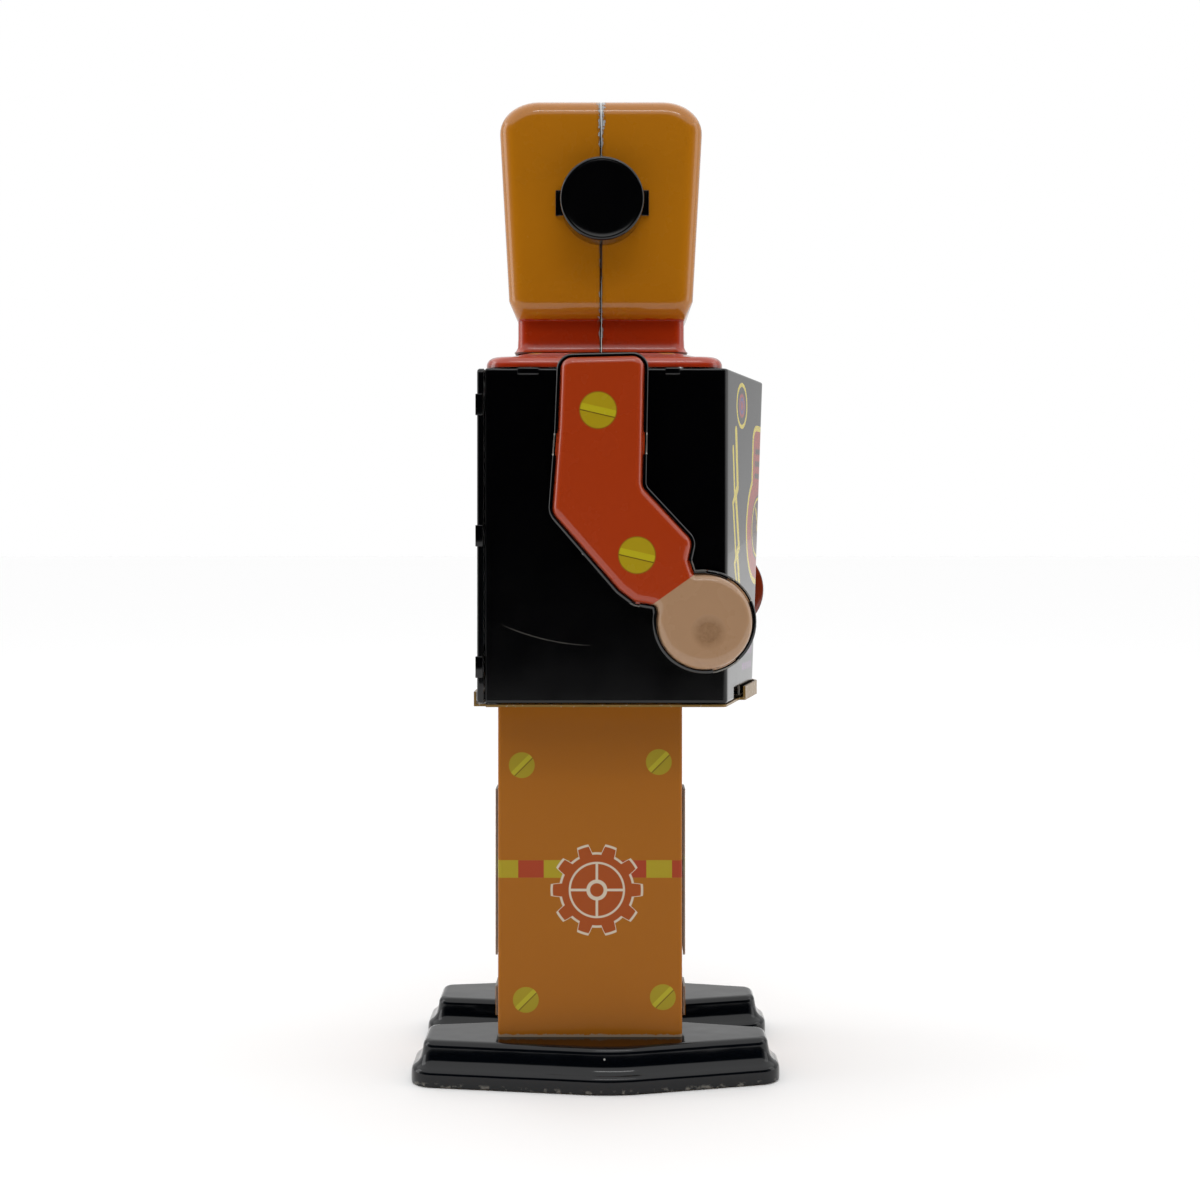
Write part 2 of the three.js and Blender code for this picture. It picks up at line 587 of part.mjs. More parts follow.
function legChannel(closedX, openX) {
  const [x0, x1] = [Math.min(closedX, openX), Math.max(closedX, openX)];
  const towards = Math.sign(openX - closedX);
  const corners = [
    [openX, LEG_FRONT_Y, 0],
    [closedX, LEG_FRONT_Y, FOLD / 2],
    [closedX, LEG_BACK_Y, FOLD / 2],
    [openX, LEG_BACK_Y, 0],
  ];
  const plan = outline(corners);
  const wall = extruded(plan, LEG_TOP_Z - LEG_LOW_Z).translate(0, 0, LEG_LOW_Z);
  const hollow = extruded(inset(plan, SHEET), LEG_TOP_Z).translate(0, 0, 0);
  const open = towards > 0 ? box(x1 - SHEET - 0.1, x1 + 1, LEG_FRONT_Y + SHEET, LEG_BACK_Y - SHEET, 0, LEG_TOP_Z + 1) : box(x0 - 1, x0 + SHEET + 0.1, LEG_FRONT_Y + SHEET, LEG_BACK_Y - SHEET, 0, LEG_TOP_Z + 1);
  return cut(wall, hollow.translate(0, 0, 1), open);
}

// The inner channel's straps step outwards over the outer channel, at the front and at the back.
function legInner() {
  const joint = LEG_SPLIT_X - GAP / 2;
  const channel = legChannel(LEG_INNER_X, joint);
  const straps = [SHIN_STRAP, ANKLE_STRAP].flatMap(({ low, high }) =>
    [
      [LEG_FRONT_Y, -1],
      [LEG_BACK_Y, 1],
    ].flatMap(([face, out]) => {
      const outer = face + out * STRAP_PROUD;
      const sheetInner = outer - out * SHEET;
      const overlap = face - out * SHEET * 0.5;
      const span = (a, b) => [Math.min(a, b), Math.max(a, b)];
      return [
        box(joint - 4, joint + 5, ...span(outer, sheetInner), low, high),
        box(joint - 4, joint - 0.5, ...span(outer, overlap), low, high),
      ];
    }),
  );
  return join(channel, ...straps);
}

// The hanger is a strap that turns on the hip stud, with a window that the crank pin works in.
const HANGER_X = PLATE_INNER_X + PLATE_THICKNESS + 2.6;
const HANGER_FLOOR_Z = LEG_TOP_Z - 5;
const CRANK = { y: HIP.y, z: WINDING.z + Math.sqrt(((GREAT_TEETH + CRANK_PINION_TEETH) * DRIVE_MODULE * 0.5) ** 2 - (WINDING.y - HIP.y) ** 2) };
const CRANK_PIN_RADIUS = 0.8;
const HIP_STUD_RADIUS = 1.5;

function legHanger() {
  const window = {
    y: CRANK_THROW + CRANK_PIN_RADIUS + (CRANK.z - HIP.z) * Math.tan(THREE.MathUtils.degToRad(HIP_SWING)) + GAP,
    z: CRANK_THROW + CRANK_PIN_RADIUS + 2 * GAP,
  };
  const halfWidth = window.y + 2.2;
  const top = CRANK.z + window.z + 2.2;
  const strap = outline([
    [HIP.y - halfWidth, HANGER_FLOOR_Z, 0],
    [HIP.y + halfWidth, HANGER_FLOOR_Z, 0],
    [HIP.y + halfWidth, top, 2],
    [HIP.y - halfWidth, top, 2],
  ]);
  const windowPath = outline([
    [CRANK.y - window.y, CRANK.z - window.z, 1],
    [CRANK.y + window.y, CRANK.z - window.z, 1],
    [CRANK.y + window.y, CRANK.z + window.z, 1],
    [CRANK.y - window.y, CRANK.z + window.z, 1],
  ]);
  const holes = [circle(HIP_STUD_RADIUS + RUNNING, HIP.y, HIP.z), windowPath];
  const upright = extruded(strap, SHEET, ACROSS_X, holes).translate(HANGER_X, 0, 0);
  const wall = SHEET + GAP;
  const floor = box(LEG_INNER_X + wall, LEG_OUTER_X - wall, LEG_FRONT_Y + wall, LEG_BACK_Y - wall, HANGER_FLOOR_Z - SHEET, HANGER_FLOOR_Z + 0.1);
  return join(upright, floor);
}

function footPlan() {
  const [toe, heel] = [FOOT_CENTRE_Y - FOOT_LENGTH / 2, FOOT_CENTRE_Y + FOOT_LENGTH / 2];
  const waist = FOOT_CENTRE_Y - 4;
  return outline(
    [
      [-TOE_WIDTH / 2, toe, 5.4],
      [-FOOT_WIDTH / 2, waist, 34],
      [-HEEL_WIDTH / 2, heel, 5.4],
      [HEEL_WIDTH / 2, heel, 5.4],
      [FOOT_WIDTH / 2, waist, 34],
      [TOE_WIDTH / 2, toe, 5.4],
    ],
    4,
  );
}

const FOOT_LEDGE_Z = 4.7;
function footShell() {
  const profile = [
    ...quarter(1.5, 1.5, FOOT_HEIGHT, 3).map(([across, height]) => [across + 2.6, height]),
    [2.3, FOOT_LEDGE_Z + 0.6],
    [1.9, FOOT_LEDGE_Z + 0.1],
    [0.7, FOOT_LEDGE_Z - 0.1],
    [0.15, FOOT_LEDGE_Z - 0.6],
    [0, GAP],
  ];
  const shell = pressed(footPlan(), profile).translate(FOOT_CENTRE_X, 0, 0);
  // Two upstands grip the front and back of the leg.
  const upstands = [
    [LEG_FRONT_Y, -1],
    [LEG_BACK_Y, 1],
  ].map(([face, out]) => {
    const [near, far] = [face + out * (STRAP_PROUD - SHEET), face + out * STRAP_PROUD].sort((a, b) => a - b);
    return box(LEG_SPLIT_X - 4, LEG_SPLIT_X + 5, near, far, FOOT_HEIGHT - SHEET * 0.8, ANKLE_STRAP.low - GAP);
  });
  return join(shell, ...upstands);
}

const footSole = () => extruded(inset(footPlan(), SHEET + GAP), SHEET).translate(FOOT_CENTRE_X, 0, 0);

function leg(side) {
  const made = group(
    named(`${side}_leg_outer`, legChannel(LEG_OUTER_X, LEG_SPLIT_X + GAP / 2), LEG_ORANGE),
    named(`${side}_leg_inner`, legInner(), LEG_ORANGE),
    named(`${side}_leg_hanger`, legHanger(), STEEL),
    named(`${side}_foot_shell`, footShell(), BLACK),
    named(`${side}_foot_sole`, footSole(), GOLD_LACQUER),
  );
  made.scale.x = side === "left" ? 1 : -1;
  return made;
}

// ---------------------------------------------------------------- motor
const along = (from, distance, degrees) => ({
  y: from.y + distance * Math.cos(THREE.MathUtils.degToRad(degrees)),
  z: from.z + distance * Math.sin(THREE.MathUtils.degToRad(degrees)),
});
const THIRD = along(CRANK, ((SECOND_TEETH + FINE_PINION_TEETH) * FINE_MODULE) / 2, 135);
const ESCAPE = along(THIRD, ((THIRD_TEETH + FINE_PINION_TEETH) * FINE_MODULE) / 2, 120);
const ESCAPE_RADIUS = 5.0;
const VERGE = along(ESCAPE, ESCAPE_RADIUS + 1.9, 42);
const POST_RADIUS = 1.5;
const PLATE_MARGIN = 3.0; // metal round the posts and the arbor holes
const GREAT_TIP = (GREAT_TEETH * DRIVE_MODULE) / 2 + DRIVE_MODULE;
const POST_REACH = GREAT_TIP + POST_RADIUS + 1.4;
const PLATE_FRONT_Y = -13.5;
const POSTS = [
  { y: PLATE_FRONT_Y + PLATE_MARGIN, z: TORSO_LOW_Z + 13.1 },
  along(WINDING, POST_REACH, -49),
  along(WINDING, POST_REACH, 64),
  { y: PLATE_FRONT_Y + PLATE_MARGIN, z: VERGE.z + 5 },
];
const ARBOR_RADIUS = { winding: 1.6, crank: 1.0, fine: 0.7 };

const FOOT_FRONT_Y = TORSO_FRONT_Y + 1.0; // front of the feet that the motor's plates stand on
function motorPlate() {
  const base = BOTTOM_PLATE_HIGH + GAP;
  const waist = Math.min(POSTS[0].z, POSTS[1].z) - PLATE_MARGIN;
  const back = Math.max(POSTS[1].y, POSTS[2].y) + PLATE_MARGIN;
  const step = Math.max(POSTS[2].z, CRANK.z) + PLATE_MARGIN;
  const top = POSTS[3].z + PLATE_MARGIN;
  const plan = outline([
    [FOOT_FRONT_Y, base, 0],
    [FOOT_FRONT_Y + 4.2, base, 1],
    [PLATE_FRONT_Y, waist, 2],
    [back, waist, 2],
    [back, step, 3],
    [VERGE.y + 12, step + 2, 3],
    [VERGE.y + 8, top, 3],
    [PLATE_FRONT_Y, top, 3],
    [PLATE_FRONT_Y, waist + 11, 2],
    [FOOT_FRONT_Y, base + 6, 2],
  ]);
  const holes = [
    circle(ARBOR_RADIUS.winding + RUNNING, WINDING.y, WINDING.z),
    circle(ARBOR_RADIUS.crank + RUNNING, CRANK.y, CRANK.z),
    ...[THIRD, ESCAPE, VERGE].map(({ y, z }) => circle(ARBOR_RADIUS.fine + RUNNING, y, z, 12)),
  ];
  const plate = extruded(plan, PLATE_THICKNESS, ACROSS_X, holes).translate(PLATE_INNER_X, 0, 0);
  const foot = box(PLATE_INNER_X, PLATE_INNER_X + 6, FOOT_FRONT_Y, FOOT_FRONT_Y + 4, base, base + PLATE_THICKNESS);
  // The hip stud is riveted into the plate and carries the leg's hanger on a shouldered end.
  const studRoot = PLATE_INNER_X + PLATE_THICKNESS;
  const stud = barX(HIP_STUD_RADIUS, studRoot - 0.4, HANGER_X + SHEET + GAP + 1.2, HIP.y, HIP.z, 16);
  const shoulder = barX(HIP_STUD_RADIUS + 1, studRoot - 0.4, HANGER_X - GAP, HIP.y, HIP.z, 16);
  return join(plate, foot, stud, shoulder);
}

const hipClip = () =>
  washer(HIP_STUD_RADIUS + 0.05, HIP_STUD_RADIUS + 1.6, HANGER_X + SHEET + GAP, HANGER_X + SHEET + GAP + 0.6).translate(0, HIP.y, HIP.z);

// A spur gear across X, centred on its arbor. Teeth are straight-sided, thinned for backlash, and one tooth points
// at the angle given, in radians from +Y towards +Z.
function gear(teeth, module, width, bore, angle, spokes = 0) {
  const pitch = (teeth * module) / 2;
  const [tip, root] = [pitch + 0.78 * module, pitch - 1.1 * module];
  const step = (2 * Math.PI) / teeth;
  const points = [];
  for (let k = 0; k < teeth; k++)
    for (const [radius, share] of [
      [root, -0.29],
      [tip, -0.11],
      [tip, 0.11],
      [root, 0.29],
    ]) {
      const at = angle + step * (k + share);
      points.push(new THREE.Vector2(radius * Math.cos(at), radius * Math.sin(at)));
    }
  const holes = [circle(bore, 0, 0, 12)];
  const ringMid = (root + bore) / 2;
  for (let k = 0; k < spokes; k++) {
    const at = angle + (2 * Math.PI * (k + 0.5)) / spokes;
    holes.push(circle((root - bore) * 0.24, ringMid * Math.cos(at), ringMid * Math.sin(at), 10));
  }
  return extruded(points, width, ACROSS_X, holes);
}

// The angle for a follower's tooth, so that a gap of it meets a tooth of its driver.
function meshed(driver, driverTeeth, driverAngle, follower, followerTeeth) {
  const line = Math.atan2(follower.z - driver.z, follower.y - driver.y);
  const phase = (line - driverAngle) / ((2 * Math.PI) / driverTeeth);
  return line + Math.PI - ((0.5 - phase) * 2 * Math.PI) / followerTeeth;
}

const at = ({ y, z }, ...children) => {
  const made = group(...children);
  made.position.set(0, y, z);
  return made;
};

const GREAT_ANGLE = 0;
const CRANK_PINION_ANGLE = meshed(WINDING, GREAT_TEETH, GREAT_ANGLE, CRANK, CRANK_PINION_TEETH);
const SECOND_ANGLE = 0;
const THIRD_PINION_ANGLE = meshed(CRANK, SECOND_TEETH, SECOND_ANGLE, THIRD, FINE_PINION_TEETH);
const THIRD_ANGLE = 0;
const ESCAPE_PINION_ANGLE = meshed(THIRD, THIRD_TEETH, THIRD_ANGLE, ESCAPE, FINE_PINION_TEETH);

const PLATE_OUTER_X = PLATE_INNER_X + PLATE_THICKNESS;
const ARBOR_END = PLATE_OUTER_X + 0.7;
const bored = (radius) => radius + RUNNING;

// The key's sleeve fits the arbor, and its two wings are round lobes with holes.
const KEY_SLEEVE_X = TORSO_HALF + ARM_STANDOFF;
const KEY_WING = { lobe: 8.2, spread: 8.4, thickness: 1.3 };
function key() {
  const { lobe, spread, thickness } = KEY_WING;
  const centreX = TORSO_HALF + KEY_LENGTH - lobe;
  const sleeveEnd = centreX - lobe + 1.5;
  const sleeve = barX(3.0, KEY_SLEEVE_X, sleeveEnd, 0, 0, 20);
  const lobes = [-1, 1].map((side) => extruded(circle(lobe, centreX, side * spread, 28), thickness));
  const waist = extruded(
    outline([
      [sleeveEnd - 3, -3, 0],
      [centreX + 2.5, -5, 0],
      [centreX + 2.5, 5, 0],
      [sleeveEnd - 3, 3, 0],
    ]),
    thickness,
  );
  const holes = [-1, 1].map((side) => extruded(circle(lobe * 0.46, centreX, side * (spread + 1), 20), thickness + 2).translate(0, 0, -1));
  const wings = cut(join(...lobes, waist), ...holes).translate(0, 0, -thickness / 2);
  const bore = barX(ARBOR_RADIUS.winding + RUNNING, KEY_SLEEVE_X - 1, KEY_SLEEVE_X + 8, 0, 0, 16);
  return cut(join(sleeve, wings), bore);
}

// A ratchet wheel with a click on the great wheel's face, so that winding slips and running drives.
const RATCHET = { teeth: 14, tip: 5.4, root: 4.3, x: -2.4, width: 1.0 };
function ratchetWheel() {
  const step = (2 * Math.PI) / RATCHET.teeth;
  const points = [];
  for (let k = 0; k < RATCHET.teeth; k++)
    for (const [radius, share] of [
      [RATCHET.tip, 0],
      [RATCHET.root, 0.12],
    ])
      points.push(new THREE.Vector2(radius * Math.cos(step * (k + share)), radius * Math.sin(step * (k + share))));
  return extruded(points, RATCHET.width, ACROSS_X, [circle(bored(ARBOR_RADIUS.winding), 0, 0, 16)]).translate(RATCHET.x, 0, 0);
}

const GREAT_X = -0.9;
function click() {
  const plan = outline([
    [6.2, -1.4, 0.6],
    [8.8, -0.9, 0.8],
    [8.6, 1.2, 0.8],
    [5.9, 4.2, 0],
    [5.2, 3.5, 0],
  ]);
  const rivet = barX(0.7, RATCHET.x + 0.5, GREAT_X - 0.1, 7.8, 0, 12);
  return join(extruded(plan, RATCHET.width, ACROSS_X).translate(RATCHET.x, 0, 0), rivet);
}

// The mainspring: a steel strip wound between the arbor and a post, drawn part wound.
function mainspring() {
  const turns = 5;
  const strip = 0.35;
  const [first, last] = [ARBOR_RADIUS.winding + 1.0, 8.9];
  const post = POSTS[2];
  const toPost = Math.atan2(post.z - WINDING.z, post.y - WINDING.y);
  const postRadius = Math.hypot(post.z - WINDING.z, post.y - WINDING.y) - POST_RADIUS - GAP;
  const steps = turns * 18;
  const radiusAt = (share) => {
    const wound = first + (last - first) * share;
    const leaving = THREE.MathUtils.clamp((share - 0.93) / 0.07, 0, 1);
    return wound + (postRadius - strip - last) * leaving * leaving;
  };
  const edge = (offset) =>
    Array.from({ length: steps + 1 }, (_, k) => {
      const share = k / steps;
      const angle = toPost - 2 * Math.PI * turns * (1 - share);
      const radius = radiusAt(share) + offset;
      return new THREE.Vector2(radius * Math.cos(angle), radius * Math.sin(angle));
    });
  return extruded([...edge(strip), ...edge(0).reverse()], 5.0, ACROSS_X).translate(-8.4, 0, 0);
}

const motorPost = () => barX(POST_RADIUS, -PLATE_INNER_X + GAP, PLATE_INNER_X - GAP, 0, 0, 14);

function windingArbor() {
  return barX(ARBOR_RADIUS.winding, -ARBOR_END, KEY_SLEEVE_X + 7, 0, 0, 16);
}

// The crank axle: a pinion driven by the great wheel, and a crank outside each plate, half a turn apart.
const CRANK_WEB_X = PLATE_OUTER_X + GAP;
function crankAxle() {
  const axle = barX(ARBOR_RADIUS.crank, -CRANK_WEB_X - 0.3, CRANK_WEB_X + 0.3, 0, 0, 16);
  const pinion = gear(CRANK_PINION_TEETH, DRIVE_MODULE, 2.6, 0.5, CRANK_PINION_ANGLE).translate(GREAT_X - 0.7, 0, 0);
  const webs = [-1, 1].map((side) => {
    const plan = outline([
      [-1.9, side * -1.9, 1.2],
      [1.9, side * -1.9, 1.2],
      [1.9, side * (CRANK_THROW + 1.9), 1.2],
      [-1.9, side * (CRANK_THROW + 1.9), 1.2],
    ]);
    const web = extruded(plan, 0.8, ACROSS_X).translate(side > 0 ? CRANK_WEB_X : -CRANK_WEB_X - 0.8, 0, 0);
    const pinEnd = HANGER_X + SHEET + 0.8;
    const ends = side > 0 ? [CRANK_WEB_X + 0.4, pinEnd] : [-pinEnd, -CRANK_WEB_X - 0.4];
    const pin = barX(CRANK_PIN_RADIUS, ...ends, 0, side * CRANK_THROW, 12);
    return [web, pin];
  });
  return join(axle, pinion, ...webs.flat());
}

const WHEEL_WIDTH = 0.8;
const SECOND_X = 4.6;
const THIRD_X = -3.4;
const ESCAPE_X = 2.6;

function thirdArbor() {
  const rod = barX(ARBOR_RADIUS.fine, -ARBOR_END, ARBOR_END, 0, 0, 12);
  const pinion = gear(FINE_PINION_TEETH, FINE_MODULE, 2.0, 0.3, THIRD_PINION_ANGLE).translate(SECOND_X - 0.6, 0, 0);
  return join(rod, pinion);
}

function escapeArbor() {
  const rod = barX(ARBOR_RADIUS.fine, -ARBOR_END, ARBOR_END, 0, 0, 12);
  const pinion = gear(FINE_PINION_TEETH, FINE_MODULE, 2.0, 0.3, ESCAPE_PINION_ANGLE).translate(THIRD_X - 0.6, 0, 0);
  return join(rod, pinion);
}

function escapeWheel() {
  const step = (2 * Math.PI) / ESCAPE_TEETH;
  const points = [];
  for (let k = 0; k < ESCAPE_TEETH; k++)
    for (const [radius, share] of [
      [ESCAPE_RADIUS, 0],
      [ESCAPE_RADIUS * 0.66, 0.3],
      [ESCAPE_RADIUS * 0.66, 0.55],
    ])
      points.push(new THREE.Vector2(radius * Math.cos(step * (k + share)), radius * Math.sin(step * (k + share))));
  return extruded(points, WHEEL_WIDTH, ACROSS_X, [circle(bored(ARBOR_RADIUS.fine), 0, 0, 12)]).translate(ESCAPE_X, 0, 0);
}

// The verge rocks on its own arbor: a plate with two pallets over the escape wheel and a weight above.
function verge() {
  const plan = outline([
    [-4.2, -0.2, 0.3],
    [-3.4, -0.9, 0.3],
    [0, -0.6, 0.3],
    [3.0, -2.6, 0.3],
    [3.6, -2.0, 0.3],
    [1.6, 1.0, 0.6],
    [2.6, 5.2, 1],
    [-2.6, 5.2, 1],
    [-1.6, 1.0, 0.6],
  ]);
  const plate = extruded(plan, 1.4, ACROSS_X).translate(ESCAPE_X + WHEEL_WIDTH + GAP, 0, 0);
  const rod = barX(ARBOR_RADIUS.fine, -ARBOR_END, ARBOR_END, 0, 0, 12);
  return join(plate, rod);
}

function motor() {
  const posts = POSTS.map((place, i) => at(place, named(`motor_post_${i + 1}`, motorPost(), STEEL)));
  const plates = ["left", "right"].map((side) => {
    const made = group(named(`motor_plate_${side}`, motorPlate(), STEEL), named(`${side}_hip_clip`, hipClip(), SPRING_STEEL));
    made.scale.x = side === "left" ? 1 : -1;
    return made;
  });
  const keyGroup = group(named("winding_key", key(), NICKEL));
  keyGroup.rotation.x = THREE.MathUtils.degToRad(KEY_TURN);
  return group(
    ...plates,
    ...posts,
    at(
      WINDING,
      named("winding_arbor", windingArbor(), STEEL),
      named("great_wheel", gear(GREAT_TEETH, DRIVE_MODULE, 1.0, bored(ARBOR_RADIUS.winding), GREAT_ANGLE, 5).translate(GREAT_X, 0, 0), BRASS),
      named("ratchet_wheel", ratchetWheel(), STEEL),
      named("ratchet_click", click(), STEEL),
      named("mainspring", mainspring(), SPRING_STEEL),
      keyGroup,
    ),
    at(
      CRANK,
      named("crank_axle", crankAxle(), STEEL),
      named("second_wheel", gear(SECOND_TEETH, FINE_MODULE, WHEEL_WIDTH, bored(ARBOR_RADIUS.crank), SECOND_ANGLE, 4).translate(SECOND_X, 0, 0), BRASS),
    ),
    at(
      THIRD,
      named("third_arbor", thirdArbor(), STEEL),
      named("third_wheel", gear(THIRD_TEETH, FINE_MODULE, WHEEL_WIDTH, bored(ARBOR_RADIUS.fine), THIRD_ANGLE, 4).translate(THIRD_X, 0, 0), BRASS),
    ),
    at(ESCAPE, named("escape_arbor", escapeArbor(), STEEL), named("escape_wheel", escapeWheel(), BRASS)),
    at(VERGE, named("verge", verge(), STEEL)),
  );
}

// ---------------------------------------------------------------- the robot
function ear(side) {
  const knob = named(`${side}_ear_knob`, earKnob().translate(GAP + SHEET + GAP, 0, 0), BLACK);
  const clip = named(`${side}_ear_clip`, earClip().translate(GAP, 0, 0), BLACK);
  const made = group(knob, clip);
  const sign = side === "left" ? 1 : -1;
  made.position.set((sign * HEAD_WIDTH) / 2, EAR_Y, EAR_Z);
  made.scale.x = sign;
  return made;
}

const robot = group(
  named("torso_wrap", torsoWrap(), BLACK),
  named("back_panel", backPanel(), BLACK),
  named("shoulder_collar", collar(), RED),
  named("bottom_plate", bottomPlate(), GOLD_LACQUER),
  named("head_front", headShell(true), ORANGE),
  named("head_back", headShell(false), ORANGE),
  ear("right"),
  ear("left"),
  arm("right", RIGHT_ARM_FORWARD),
  arm("left", LEFT_ARM_FORWARD),
  leg("right"),
  leg("left"),
  motor(),
);

// The part's origin is on the ground, under the middle of the robot's overall box.
const extent = new THREE.Box3().setFromObject(robot, true);
robot.position.set(-(extent.min.x + extent.max.x) / 2, -(extent.min.y + extent.max.y) / 2, -extent.min.z);

export default group(robot);
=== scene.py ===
import json
import math

import bmesh
import bpy
import numpy as np
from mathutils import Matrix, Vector


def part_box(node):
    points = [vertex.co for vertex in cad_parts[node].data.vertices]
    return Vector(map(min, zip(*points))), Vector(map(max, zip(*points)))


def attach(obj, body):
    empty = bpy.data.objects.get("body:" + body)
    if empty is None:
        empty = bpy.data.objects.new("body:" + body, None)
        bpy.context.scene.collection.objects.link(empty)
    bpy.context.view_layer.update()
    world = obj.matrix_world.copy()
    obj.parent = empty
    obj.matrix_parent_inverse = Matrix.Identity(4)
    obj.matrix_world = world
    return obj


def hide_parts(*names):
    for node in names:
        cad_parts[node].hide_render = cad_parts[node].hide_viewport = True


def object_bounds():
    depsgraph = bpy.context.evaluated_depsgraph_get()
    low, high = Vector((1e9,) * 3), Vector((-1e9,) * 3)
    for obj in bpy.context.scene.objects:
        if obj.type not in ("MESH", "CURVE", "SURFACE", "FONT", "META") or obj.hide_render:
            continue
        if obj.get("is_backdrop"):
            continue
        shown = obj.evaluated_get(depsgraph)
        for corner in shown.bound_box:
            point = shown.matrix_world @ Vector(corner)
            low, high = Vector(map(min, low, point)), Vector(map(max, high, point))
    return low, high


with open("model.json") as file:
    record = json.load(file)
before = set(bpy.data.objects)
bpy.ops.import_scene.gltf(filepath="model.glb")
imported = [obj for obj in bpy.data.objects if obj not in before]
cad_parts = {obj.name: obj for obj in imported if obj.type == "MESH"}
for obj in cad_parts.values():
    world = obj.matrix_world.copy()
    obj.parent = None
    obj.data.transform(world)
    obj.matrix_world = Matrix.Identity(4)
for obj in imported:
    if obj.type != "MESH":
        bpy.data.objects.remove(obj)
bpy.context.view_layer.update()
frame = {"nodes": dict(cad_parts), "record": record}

# ---------------------------------------------------------------- viewpoint
# The robot is looked at from its right side, level with its chest. Every size below is in
# millimetres from the robot's own middle on the ground: X to its left hand, -Y the way it walks.
TORSO_BACK = 26.8
wrap_low, wrap_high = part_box("torso_wrap")
home = Vector(((wrap_low.x + wrap_high.x) / 2, wrap_high.y - TORSO_BACK / 1000, 0.0))

camera_data = bpy.data.cameras.new("viewpoint")
camera_data.sensor_width = 36.0
camera_data.lens = 51.36
camera_data.shift_x = -0.0083
camera_data.shift_y = -0.05
camera_data.clip_start = 0.01
viewpoint = bpy.data.objects.new("viewpoint", camera_data)
viewpoint.location = home + Vector((-0.4, 0.0, 0.1194))
viewpoint.rotation_euler = (math.radians(90), 0.0, math.radians(-90))
bpy.context.scene.collection.objects.link(viewpoint)
bpy.context.scene.camera = viewpoint


# ---------------------------------------------------------------- finishes
SOFT = 0.12  # millimetres over which a printed edge fades
COAT_ROUGHNESS = 0.025
PEEL = 0.0012  # height of the lacquer's fine peel, in millimetres
BLACK = (2, 2, 3)


